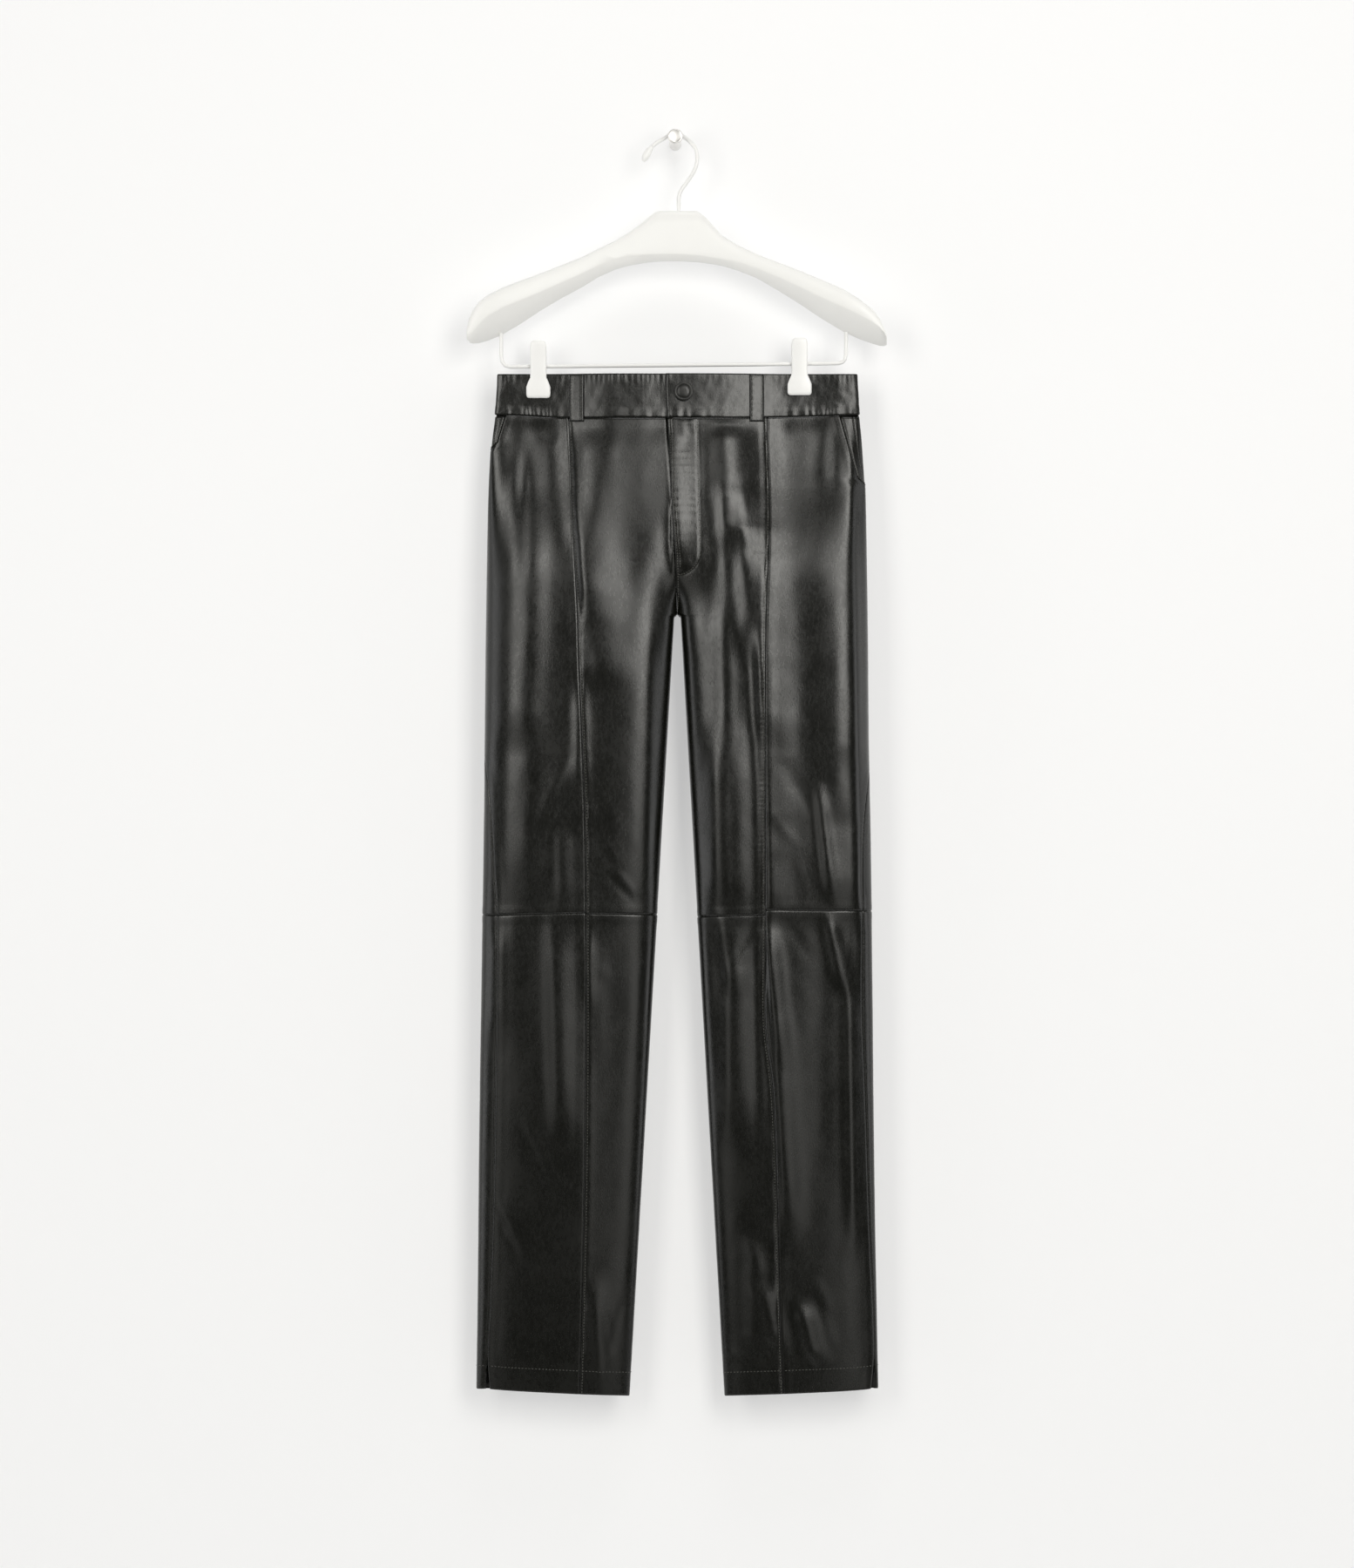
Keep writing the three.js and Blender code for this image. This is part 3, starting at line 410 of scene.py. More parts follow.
def fly_shape(column, row):
    """The left front over the fly facing: a little thicker, with the stitches drawn in."""
    shape = np.zeros(np.broadcast(column, row).shape)
    near = (column > 770) & (column < 812) & (row > 476) & (row < 672)
    if not near.any():
        return shape
    c, r = column[near], row[near]
    line_c, line_r = fly_curve()
    off = np.sqrt(((c[:, None] - line_c) ** 2 + (r[:, None] - line_r) ** 2).min(axis=1))
    round_part = np.hypot(c - 777, r - 634)
    inside = np.where(r < 634, c < FLY_STITCH(r), round_part < 26.5)
    signed = np.where(inside, off, -off)
    wrinkles = 0.10 * np.sin(r * 0.62 + 1.5 * np.sin(r * 0.13)) * smooth(505, 535, r) * smooth(640, 590, r)
    shape[near] = (0.45 * smooth(-1.5, 1.5, signed) - 0.5 * np.exp(-((off / 1.3) ** 2))
                   + wrinkles * smooth(2, 6, signed))
    return shape


def leather_relief(column, row, behind):
    front = 0.45 * creases(FRONT_CREASES, column, row) + fly_shape(column, row)
    back = 0.45 * creases(BACK_CREASES, column, row)
    rest = 0.012 * uneven(column, row, 2.6) + 0.07 * uneven(column + 300, row, 9.0)
    return np.where(behind, back, front) + rest


def plain_relief(column, row, behind):
    return 0 * column


def spaced(length, step):
    """Places from 0 to 1 along a length in mm, closer together next to both ends."""
    near = np.array([0.0, 0.3, 0.8, 1.5, 2.4, 3.4, 4.6, 6.0])
    count = max(2, int(round((length - 12) / step)))
    even = np.linspace(6.0, length - 6.0, count + 1)[1:-1]
    return np.concatenate([near, even, length - near[::-1]]) / length


def lengths(points, axis):
    step = np.linalg.norm(np.diff(points, axis=axis), axis=-1)
    total = np.cumsum(step, axis=axis)
    pad = [(0, 0), (0, 0)]
    pad[axis] = (1, 0)
    return np.pad(total, pad)


NARROWEST_SHEET = 12.0  # mm; build works out the area of a piece only when it is wider than this


def stands_for(obj, node):
    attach(obj, "root")
    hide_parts(node)


class Cut:
    """One cut piece of leather on a grid of (side, v, row), with its depth of relief in mm."""

    def __init__(self, name, parts, wall, node, relief=leather_relief, edges="", lift=0.0):
        self.name, self.node = name, node
        base = np.concatenate([cloth(s, v, r, -lift) for s, v, r in parts], axis=1)
        wall_of = wall if callable(wall) else (lambda r: np.full(r.shape, wall))
        row = np.concatenate([r for _, _, r in parts], axis=1)
        behind = np.concatenate([v > 1 for _, v, _ in parts], axis=1)
        column = column_of(base[..., 0])
        self.left, self.top = lengths(base, 1), lengths(base, 0)
        self.right = self.left[:, -1:] - self.left
        self.bottom = self.top[-1:, :] - self.top
        normal = np.cross(np.gradient(base, axis=1), np.gradient(base, axis=0))
        normal /= np.linalg.norm(normal, axis=-1, keepdims=True) + 1e-9
        facing = np.mean(np.where(behind, 1, -1) * normal[..., 1])
        self.normal = normal * np.sign(facing)
        depth = relief(column, row, behind)
        for edge in edges.split():
            way, kind = edge.split(":")
            off = getattr(self, way)
            if kind in ("closed", "lapped"):
                depth = depth * mix(1, smooth(0, 6, off), smooth(620, 660, row))
            along = self.top if way in ("left", "right") else self.left
            depth = depth + edge_shape(kind, off, along)
        inner = np.concatenate(
            [cloth(s, v, r, wall_of(r) - lift) for s, v, r in parts], axis=1
        )
        self.outer = base + self.normal * depth[..., None]
        self.inner = inner + self.normal * (depth * 0.9)[..., None]
        self.flip = facing < 0

    def build(self, material, rests_on):
        rows, columns = self.outer.shape[:2]
        points = np.concatenate([self.outer.reshape(-1, 3), self.inner.reshape(-1, 3)]) * MM
        grid = np.arange(rows * columns).reshape(rows, columns)
        back = grid + rows * columns
        a, b, c, d = grid[:-1, :-1], grid[:-1, 1:], grid[1:, 1:], grid[1:, :-1]
        faces = [np.stack([a, d, c, b], -1).reshape(-1, 4)]
        a, b, c, d = back[:-1, :-1], back[:-1, 1:], back[1:, 1:], back[1:, :-1]
        faces.append(np.stack([a, b, c, d], -1).reshape(-1, 4))
        rim = []
        for edge, way in ((grid[0], 1), (grid[-1], -1), (grid[:, 0], -1), (grid[:, -1], 1)):
            p, q = (edge[:-1], edge[1:]) if way > 0 else (edge[1:], edge[:-1])
            rim.append(np.stack([p, q, q + rows * columns, p + rows * columns], -1))
        faces.append(np.concatenate(rim))
        faces = np.concatenate(faces)
        if self.flip:
            faces = faces[:, ::-1]
        obj = mesh_object(self.name, points, faces, material)
        stands_for(obj, self.node)
        wide, long = float(self.left[:, -1].max()), float(self.top[-1].max())
        if wide > NARROWEST_SHEET:
            step_u = np.linalg.norm(np.diff(self.outer, axis=1), axis=-1)
            step_v = np.linalg.norm(np.diff(self.outer, axis=0), axis=-1)
            area = float(
                ((step_u[1:] + step_u[:-1]) / 2 * (step_v[:, 1:] + step_v[:, :-1]) / 2).sum()
            )
            area = min(area, wide * long)
        return obj

    def line(self, way, distance, start=0.0, end=1.0):
        """Points and normals on the piece at a distance in mm from one of its edges."""
        off = getattr(self, way)
        points, normals = self.outer, self.normal
        if way in ("top", "bottom"):
            off, points, normals = off.T, points.transpose(1, 0, 2), normals.transpose(1, 0, 2)
        if way in ("right", "bottom"):
            off, points, normals = off[:, ::-1], points[:, ::-1], normals[:, ::-1]
        found, facing = [], []
        for o, p, n in zip(off, points, normals):
            found.append([np.interp(distance, o, p[:, k]) for k in range(3)])
            facing.append([np.interp(distance, o, n[:, k]) for k in range(3)])
        first, last = int(start * (len(found) - 1)), int(end * (len(found) - 1))
        return np.array(found)[first:last + 1], np.array(facing)[first:last + 1]


def edge_shape(kind, off, along):
    """Relief next to an edge: a plain seam rolls in, a stitched one has its stitches drawn down
    in a flat ridge, a turned edge is only rounded."""
    if kind in ("closed", "lapped"):
        opened = smooth(152, 128, along)
        if kind == "closed":
            return -0.1 * np.exp(-((off / 1.0) ** 2)) - 1.1 * opened * np.exp(-((off / 1.5) ** 2))
        rows = np.exp(-(((off - 2.0) / 0.6) ** 2)) + np.exp(-(((off - 4.6) / 0.6) ** 2))
        return -0.5 * opened * np.exp(-((off / 0.5) ** 2)) - 0.2 * opened * rows
    shape = -0.5 * np.exp(-((off / 0.6) ** 2))
    if kind == "turned":
        return shape
    shape = shape + 0.22 * smooth(10, 6, off) * smooth(0, 2, off)
    if kind == "stitched":
        pull = 0.8 + 0.35 * np.sin(along * 0.21 + np.sin(along * 0.053))
        shape = shape - 0.45 * pull * np.exp(-(((off - 2.2) / 0.9) ** 2))
        shape = shape + 0.10 * pull * np.sin(along * 1.35 + 2 * np.sin(along * 0.11)) * np.exp(
            -(((off - 3.5) / 3.0) ** 2)
        )
    if kind == "puckered":
        swell = 0.5 + 0.5 * np.sin(along * 0.045 + 1.0)
        ripple = np.sin(along * 0.62 + 1.9 * np.sin(along * 0.083) + 0.7 * np.sin(along * 0.31))
        shape = shape + 0.28 * swell * ripple * np.exp(-((off - 2.0) / 7.0) ** 2)
    return shape


def mesh_object(name, points, faces, material, smooth_shading=True):
    mesh = bpy.data.meshes.new(name)
    mesh.vertices.add(len(points))
    mesh.vertices.foreach_set("co", np.ascontiguousarray(points, np.float32).ravel())
    sides = faces.shape[1]
    mesh.loops.add(len(faces) * sides)
    mesh.loops.foreach_set("vertex_index", np.ascontiguousarray(faces, np.int32).ravel())
    mesh.polygons.add(len(faces))
    mesh.polygons.foreach_set("loop_start", np.arange(0, len(faces) * sides, sides, dtype=np.int32))
    mesh.polygons.foreach_set("use_smooth", np.full(len(faces), smooth_shading))
    mesh.update(calc_edges=True)
    mesh.validate()
    mesh.materials.append(material)
    obj = bpy.data.objects.new(name, mesh)
    bpy.context.scene.collection.objects.link(obj)
    return obj


class Thread:
    """Stitches sewn along lines on the leather, gathered into one piece."""

    def __init__(self, name):
        self.name, self.points, self.faces, self.count = name, [], [], 0

    def sew(self, points, normals, pitch=3.0, long=2.2, thick=0.42, sink=0.02):
        step = np.linalg.norm(np.diff(points, axis=0), axis=1)
        at = np.concatenate([[0], np.cumsum(step)])
        for middle in np.arange(pitch, at[-1] - pitch / 2, pitch):
            ends = [middle - long / 2, middle + long / 2]
            p = np.array([[np.interp(m, at, points[:, k]) for k in range(3)] for m in ends])
            n = np.array([np.interp(middle, at, normals[:, k]) for k in range(3)])
            n /= np.linalg.norm(n)
            u = (p[1] - p[0]) / (np.linalg.norm(p[1] - p[0]) + 1e-9)
            w = np.cross(u, n)
            rings = []
            for t, r, up in ((0.0, 0.45, -0.5), (0.18, 0.95, 0.1), (0.5, 1.0, 0.45), (0.82, 0.95, 0.1),
                             (1.0, 0.45, -0.5)):
                centre = p[0] + (p[1] - p[0]) * t + n * (thick * up - sink)
                for k in range(6):
                    angle = math.pi * k / 3
                    rings.append(centre + thick * r * (math.cos(angle) * w + math.sin(angle) * n))
            start = self.count
            self.points.extend(rings)
            self.count += 30
            for i in range(4):
                for k in range(6):
                    a, b = start + i * 6 + k, start + i * 6 + (k + 1) % 6
                    self.faces.append((a, b, b + 6, a + 6))
            for ring, turn in ((start, 1), (start + 24, -1)):
                cap = [ring + k for k in range(6)][::turn]
                self.faces.append((cap[3], cap[2], cap[1], cap[0]))
                self.faces.append((cap[5], cap[4], cap[3], cap[0]))

    def build(self, material):
        obj = mesh_object(self.name, np.array(self.points) * MM, np.array(self.faces), material)
        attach(obj, "root")
        return obj


class Shade:
    """A socket of a material, so that its shading can be written as sums and products."""

    def __init__(self, finish, socket):
        self.finish, self.socket = finish, socket

    def maths(self, operation, first, second):
        return self.finish.node("ShaderNodeMath", {"operation": operation}, {0: first, 1: second})

    def __add__(self, other):
        return self.maths("ADD", self, other)

    __radd__ = __add__

    def __sub__(self, other):
        return self.maths("SUBTRACT", self, other)

    def __rsub__(self, other):
        return self.maths("SUBTRACT", other, self)

    def __mul__(self, other):
        return self.maths("MULTIPLY", self, other)

    __rmul__ = __mul__


class Finish:
    """A material built from nodes."""

    def __init__(self, name, **constants):
        self.material = bpy.data.materials.new(name)
        self.material.use_nodes = True
        self.tree = self.material.node_tree
        self.tree.nodes.clear()
        self.surface = self.tree.nodes.new("ShaderNodeBsdfPrincipled")
        self.output = self.tree.nodes.new("ShaderNodeOutputMaterial")
        self.tree.links.new(self.surface.outputs[0], self.output.inputs[0])
        for key, value in constants.items():
            self.surface.inputs[key.replace("_", " ")].default_value = value

    def node(self, kind, settings=None, sockets=None, output=0):
        made = self.tree.nodes.new(kind)
        for key, value in (settings or {}).items():
            if key == "stops":
                ramp = made.color_ramp
                while len(ramp.elements) < len(value):
                    ramp.elements.new(0.5)
                for element, (at, colour) in zip(ramp.elements, value):
                    element.position, element.color = at, colour
            else:
                setattr(made, key, value)
        for key, value in (sockets or {}).items():
            self.put(made.inputs[key], value)
        return Shade(self, made.outputs[output])

    def put(self, socket, value):
        if isinstance(value, Shade):
            self.tree.links.new(value.socket, socket)
        else:
            socket.default_value = value

    def feed(self, **values):
        for key, value in values.items():
            self.put(self.surface.inputs[key.replace("_", " ")], value)

    def place(self):
        return self.node("ShaderNodeTexCoord", output=3)

    def noise(self, where, scale, detail=2.0, roughness=0.5, output=0):
        return self.node("ShaderNodeTexNoise", {}, {
            "Vector": where, "Scale": scale, "Detail": detail, "Roughness": roughness}, output)

    def bump(self, height, strength, distance, normal=None):
        sockets = {"Height": height, "Strength": strength, "Distance": distance}
        if normal is not None:
            sockets["Normal"] = normal
        return self.node("ShaderNodeBump", {}, sockets)


def leather_finish(name, dark, light, rough, grain=1.0):
    finish = Finish(name, IOR=1.5, Specular_IOR_Level=0.5)
    where = finish.place()
    turned = finish.node("ShaderNodeMapping", {}, {
        "Vector": where, "Rotation": (0.0, 0.6, 0.0), "Scale": (1.0, 1.0, 0.45)})
    cells = finish.node("ShaderNodeTexVoronoi", {"feature": "DISTANCE_TO_EDGE"},
                        {"Vector": turned, "Scale": 620.0, "Randomness": 1.0})
    pebble = finish.node("ShaderNodeMapRange", {}, {0: cells, 1: 0.0, 2: 0.25, 3: 0.0, 4: 1.0})
    fine = finish.noise(where, 1900.0, 2.0)
    pores = finish.noise(turned, 420.0, 3.0, 0.6)
    soft = finish.noise(turned, 120.0, 3.0, 0.5)
    cloud = finish.noise(where, 26.0, 3.0, 0.55)
    patch = finish.noise(where, 7.0, 2.0, 0.5)
    colour = finish.node("ShaderNodeMix", {"data_type": "RGBA"},
                         {0: cloud * 0.6 + pores * 0.4, 6: dark, 7: light}, output=2)
    height = pebble * 0.5 + pores * 0.5 + fine * 0.15
    worn = finish.bump(soft, 0.06 * grain, 0.0006)
    finish.feed(
        Base_Color=colour,
        Roughness=rough + (cloud - 0.5) * 0.16 + (patch - 0.5) * 0.12 + (pores - 0.5) * 0.20,
        Normal=finish.bump(height, 0.12 * grain, 0.0003, worn),
    )
    return finish.material


def plain_finish(name, colour, rough, metal=0.0, speckle=60.0, spread=0.03, bump=0.02):
    finish = Finish(name, Metallic=metal)
    where = finish.place()
    cloud = finish.noise(where, speckle, 3.0)
    fine = finish.noise(where, speckle * 30, 2.0)
    other = tuple(c * (1 - spread) for c in colour[:3]) + (1.0,)
    finish.feed(
        Base_Color=finish.node("ShaderNodeMix", {"data_type": "RGBA"}, {0: cloud, 6: colour, 7: other},
                               output=2),
        Roughness=rough + (cloud - 0.5) * 0.08 + (fine - 0.5) * 0.04,
        Normal=finish.bump(fine, bump, 0.0001),
    )
    return finish.material


LEATHER = leather_finish("black_leather", (0.0025, 0.0026, 0.0016, 1), (0.005, 0.0052, 0.0036, 1), 0.27)
LEATHER_IN = leather_finish("leather_facing", (0.007, 0.007, 0.006, 1), (0.011, 0.011, 0.009, 1), 0.6)
# The button's leather is a lighter copy of the trousers' leather: painted sheen for the light the button
# catches.
SHEEN_LIT_BUTTON_LEATHER = leather_finish("button_leather_painted_sheen", (0.006, 0.006, 0.005, 1), (0.011, 0.011, 0.009, 1), 0.36)
THREAD = plain_finish("black_thread", (0.055, 0.055, 0.048, 1), 0.4, speckle=900)
WHITE = plain_finish("hanger_lacquer", (0.87, 0.87, 0.855, 1), 0.38)
CLIP = plain_finish("clip_plastic", (0.88, 0.88, 0.87, 1), 0.3)
COATED = plain_finish("coated_wire", (0.85, 0.85, 0.84, 1), 0.3)
STEEL = plain_finish("peg_steel", (0.80, 0.79, 0.77, 1), 0.34, metal=1.0)

BELOW = SEAM_GAP / 2 / MM_PER_PX
UPPER_TOP, UPPER_END = 478.0, KNEE - BELOW
LOWER_TOP, HEM_END = KNEE + BELOW, 1597.0
KNEE_AT = {-1: (1.0, -1.0, -2.0, 1.0, 0.0), 1: (3.5, 0.5, -5.0, -4.0, -1.0)}
HEM_AT = {-1: (5.0, 1.3, -4.2), 1: (5.0, 1.0, -4.2)}


def under_band(column):
    return WAIST_SEAM(column) + BELOW - UPPER_TOP


def cut_grid(side, first, last, width, from_edge, to_edge, top, bottom, step=3.0, extra=()):
    """v and row on a grid between two edges; top and bottom shift its first and last rows."""
    down = spaced((last - first) * MM_PER_PX, step) * (last - first) + first
    down = np.unique(np.concatenate([down, np.array(extra, float)]))
    across = spaced(width, step)[None, :]
    down = down[:, None]
    if top is None:
        start = mix(from_edge(np.full((1, 1), first)), to_edge(np.full((1, 1), first)), across)
        shift = under_band(column_of(cloth(side, start, np.full_like(across, first))[..., 0]))
    else:
        shift = mix(top[0], top[1], across)
    row = down + shift * smooth(first + 70, first, down)
    row = row + mix(bottom[0], bottom[1], across) * smooth(last - 70, last, down)
    return mix(from_edge(row), to_edge(row), across), row


def hem_wall(row):
    return mix(PANEL_WALL, HEM_WALL, smooth(1570, 1571.5, row))


NEAR_CROTCH = (699, 702, 704.6, 707.3, 708.5, 710, 712, 715)
cuts = {}
for side, tag in ((-1, "r"), (1, "l")):
    inseam, seam_in, seam_out, outside, back = KNEE_AT[side]
    hem_in, hem_seam, hem_out = HEM_AT[side]
    shapes = (
        ("front_centre_upper", UPPER_TOP, UPPER_END, 96, centre_front(side), before_seam(side), None,
         (inseam, seam_in), "left:closed right:stitched top:seam bottom:seam"),
        ("front_side_upper", UPPER_TOP, UPPER_END, 100, after_seam(side), panel_side_edge(side), None,
         (seam_out, outside), "left:seam right:seam top:seam bottom:seam"),
        ("back_side_upper", UPPER_TOP, UPPER_END, 112, side_back_edge(side), back_seam(side, -HALF), None,
         (outside, back), "left:seam right:seam top:seam bottom:seam"),
        ("back_centre_upper", UPPER_TOP, UPPER_END, 100, back_seam(side, HALF), centre_back(side), None,
         (back, inseam), "left:stitched right:closed top:seam bottom:seam"),
        ("front_centre_lower", LOWER_TOP, HEM_END, 72, centre_front(side), before_seam(side),
         (inseam, seam_in), (hem_in, hem_seam), "left:seam right:stitched top:seam bottom:turned"),
        ("front_side_lower", LOWER_TOP, HEM_END, 100, after_seam(side), side_front_edge(side),
         (seam_out, outside), (hem_seam, hem_out), "left:seam right:seam top:seam bottom:turned"),
        ("back_side_lower", LOWER_TOP, HEM_END, 110, side_back_edge(side), back_seam(side, -HALF),
         (outside, back), (hem_out, hem_seam), "left:seam right:seam top:seam bottom:turned"),
        ("back_centre_lower", LOWER_TOP, HEM_END, 90, back_seam(side, HALF), centre_back(side),
         (back, inseam), (hem_seam, hem_in), "left:stitched right:seam top:seam bottom:turned"),
    )
    for kind, first, last, width, start, end, top, bottom, edges in shapes:
        name = kind + "_" + tag
        if name == "front_centre_upper_l":
            edges = edges.replace("closed", "lapped")
        extra = NEAR_CROTCH if last < 1100 and "centre" in kind else ()
        step = 1.6 if name == "front_centre_upper_l" else 3.0
        v, row = cut_grid(side, first, last, width, start, end, top, bottom, step, extra)
        wall = hem_wall if last > 1100 else PANEL_WALL
        cuts[name] = Cut("leather_" + name, [(side, v, row)], wall, name, edges=edges)
    pocket = POCKET[side]
    row = np.linspace(479, pocket["end"] + 12, 30)[:, None]
    edge_v, seam_v = walk(side, panel_side_edge(side)(row), row, 2 * HALF), side_front_edge(side)(row)
    middle_v = at_column(side, pocket["outer"](np.minimum(row, pocket["end"])), row)
    middle_v = np.minimum(np.maximum(middle_v, mix(edge_v, seam_v, 0.35)), mix(edge_v, seam_v, 0.9))
    v = mix(edge_v, walk(side, middle_v, row, -HALF), np.linspace(0, 1, 9)[None, :])
    cuts["pocket_welt_" + tag] = Cut(
        "leather_pocket_welt_" + tag, [(side, v, row + 0 * v)], PANEL_WALL + 0.3, "pocket_welt_" + tag,
        relief=plain_relief, edges="left:turned right:turned", lift=0.3)
    v = mix(walk(side, middle_v, row, HALF), seam_v, np.linspace(0, 1, 9)[None, :])
    cuts["pocket_facing_" + tag] = Cut(
        "leather_pocket_facing_" + tag, [(side, v, row + 0 * v)], PANEL_WALL, "pocket_facing_" + tag,
        relief=plain_relief, lift=-0.5)


def band_relief(column, row, behind):
    """Creases of the waistband: fine upright ones next to the lap, short ones at its top edge."""
    near_lap = smooth(728, 740, column) * smooth(764, 756, column)
    upright = 0.17 * np.sin(column * 1.45 + 0.8 * np.sin(row * 0.2)) * near_lap
    top = 0.20 * np.sin(column * 0.95 + 2 * np.sin(column * 0.11)) * smooth(446, 432, row) * (
        smooth(660, 690, column) * smooth(775, 760, column) + 0.35)
    rest = 0.05 * uneven(column, row, 2.4) + 0.15 * uneven(column + 90, row, 6.0)
    corner = creases(((577, 430, 592, 452, 6, 0.8), (606, 434, 606, 452, 4, -0.4),
                      (606, 470, 609, 478, 3, 0.6), (962, 432, 964, 456, 5, 0.6),
                      (973, 436, 970, 452, 5, -0.5), (961, 466, 958, 478, 4, 0.9),
                      (640, 440, 646, 470, 8, 0.5), (700, 440, 690, 470, 10, 0.5),
                      (880, 452, 896, 470, 6, 0.5), (812, 440, 815, 470, 8, -0.4)), column, row)
    return rest + np.where(behind, 0.0, upright + top + 0.5 * corner)


def band_grid(side, v):
    v = v[None, :]
    column = column_of(cloth(side, v, 478.0)[..., 0])
    down = spaced(40, 1.5)[:, None]
    return np.broadcast_to(v, (down.size, v.size)), mix(BAND_TOP, WAIST_SEAM(column) - BELOW, down)


def band_end(side, way):
    return float(walk(side, side_seam(side, np.array(480.0)), 455.0, way * HALF))


front = "top:turned bottom:puckered left:turned"
v, row = band_grid(1, mix(0.0, band_end(1, -1), spaced(205, 1.2)))
cuts["waistband_front_l"] = Cut("leather_waistband_front_l", [(1, v, row)], BAND_WALL,
                                "waistband_front_l", band_relief, front)
lap_start = float(at_column(-1, 791.0, 455.0))
v, row = band_grid(-1, mix(lap_start, band_end(-1, -1), spaced(210, 1.2)))
cuts["waistband_front_r"] = Cut("leather_waistband_front_r", [(-1, v, row)], BAND_WALL,
                                "waistband_front_r", band_relief, "top:turned bottom:puckered")
v0, row0 = band_grid(-1, mix(band_end(-1, 1), 2.0, spaced(190, 2.6)[:-1]))
v1, row1 = band_grid(1, mix(2.0, band_end(1, 1), spaced(190, 2.6)[1:]))
cuts["waistband_back"] = Cut("leather_waistband_back", [(-1, v0, row0), (1, v1, row1)], BAND_WALL,
                             "waistband_back", band_relief, "top:turned bottom:puckered")


# Belt loops: strips that stand off the band a little between their ends.
LOOP_WALL = 1.8
LOOP_ROWS = np.linspace(BAND_TOP + 0.6, 484.5, 34)[:, None]
LOOP_GAP = np.interp(LOOP_ROWS[:, 0], [430.1, 441, 452, 463, 474, 484.5], [0.4, 0.7, 1.0, 1.0, 0.9, 0.7])


def loop_edges(piece):
    """Turned edges of a loop and the stitch row drawn in beside each."""
    edge = np.minimum(piece.left, piece.right)
    return -0.55 * np.exp(-((edge / 0.9) ** 2)) - 0.22 * np.exp(-(((edge - 1.9) / 0.6) ** 2))


def loop_piece(node, side, left, right, behind):
    across = np.linspace(0, 1, 13)[None, :]
    row = LOOP_ROWS + 0 * across
    ends = (left, right) if side > 0 else (right, left)
    v = at_column(side, mix(ends[0], ends[1], across), row)
    if behind:
        v = 2 - v
    outer, inner = [], []
    for i, gap in enumerate(LOOP_GAP):
        outer.append(cloth(side, v[i], row[i], -gap - LOOP_WALL))
        inner.append(cloth(side, v[i], row[i], -gap))
    piece = Cut("leather_" + node, [(side, v, row)], PANEL_WALL, node, relief=plain_relief)
    soft = loop_edges(piece) + 0.10 * np.sin(row * 0.9 + np.sin(row * 0.23))
    soft = soft - 0.6 * np.exp(-((piece.bottom / 1.0) ** 2)) - 0.5 * np.exp(-((piece.top / 1.0) ** 2))
    piece.outer = np.array(outer) + piece.normal * soft[..., None]
    piece.inner = np.array(inner)
    return piece


def centre_back_loop():
    across = np.linspace(-0.055, 0.055, 15)
    row = LOOP_ROWS
    left, right = across[across < 0][None, :], across[across >= 0][None, :]
    parts = [(-1, 2 + left + 0 * row, row + 0 * left), (1, 2 - right + 0 * row, row + 0 * right)]
    piece = Cut("leather_belt_loop_back_c", parts, PANEL_WALL, "belt_loop_back_c", relief=plain_relief)
    base = np.concatenate([cloth(side, v, r) for side, v, r in parts], axis=1)
    piece.outer, piece.inner = base.copy(), base.copy()
    piece.outer[..., 1] += LOOP_GAP[:, None] + LOOP_WALL + loop_edges(piece)
    piece.inner[..., 1] += LOOP_GAP[:, None]
    return piece


for kind in ("belt_loop_front_", "belt_loop_back_"):
    for tag, side, left, right in (("r", -1, 655.5, 671), ("l", 1, 859.8, 875.4)):
        cuts[kind + tag] = loop_piece(kind + tag, side, left, right, "back" in kind)
cuts["belt_loop_back_c"] = centre_back_loop()
row = np.linspace(482, 655, 60)[:, None]
v = mix(0.004, at_column(1, FLY_STITCH(row) + 2, row), np.linspace(0, 1, 14)[None, :])
cuts["fly_facing"] = Cut("leather_fly_facing", [(1, v, row + 0 * v)], PANEL_WALL, "fly_facing",
                         relief=lambda c, r, b: 0.05 * uneven(c, r, 5.0), lift=-PANEL_WALL - 0.8)


def hangs_from(name):
    if "waistband" in name:
        return ["clip_front_r", "clip_back_r", "clip_front_l", "clip_back_l"]
    if "front" in name:
        return ["leather_waistband_front_" + name[-1]]
    return ["leather_waistband_back"]


for name, cut in cuts.items():
    cut.build(LEATHER_IN if name == "fly_facing" else LEATHER, rests_on=hangs_from(name))


def pick(obj):
    bpy.ops.object.select_all(action="DESELECT")
    obj.select_set(True)
    bpy.context.view_layer.objects.active = obj


def edit_all(obj):
    pick(obj)
    bpy.ops.object.mode_set(mode="EDIT")
    bpy.ops.mesh.select_all(action="SELECT")


def finished_hard(node, material, soft_edge, angle=38):
    """A hard piece on its CAD form: a merged copy with eased edges and smooth faces."""
    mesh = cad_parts[node].data.copy()
    mesh.name = "finished_" + node
    mesh.materials.clear()
    mesh.materials.append(material)
    obj = bpy.data.objects.new("finished_" + node, mesh)
    bpy.context.scene.collection.objects.link(obj)
    edit_all(obj)
    bpy.ops.mesh.remove_doubles(threshold=0.00001)
    bpy.ops.mesh.tris_convert_to_quads(face_threshold=0.3, shape_threshold=0.6)
    bpy.ops.object.mode_set(mode="OBJECT")
    bevel = obj.modifiers.new("eased edges", "BEVEL")
    bevel.width, bevel.segments = soft_edge * MM, 2
    bevel.limit_method, bevel.angle_limit = "ANGLE", math.radians(angle)
    bpy.ops.object.modifier_apply(modifier=bevel.name)
    bpy.ops.object.shade_smooth_by_angle(angle=math.radians(angle))
    stands_for(obj, node)


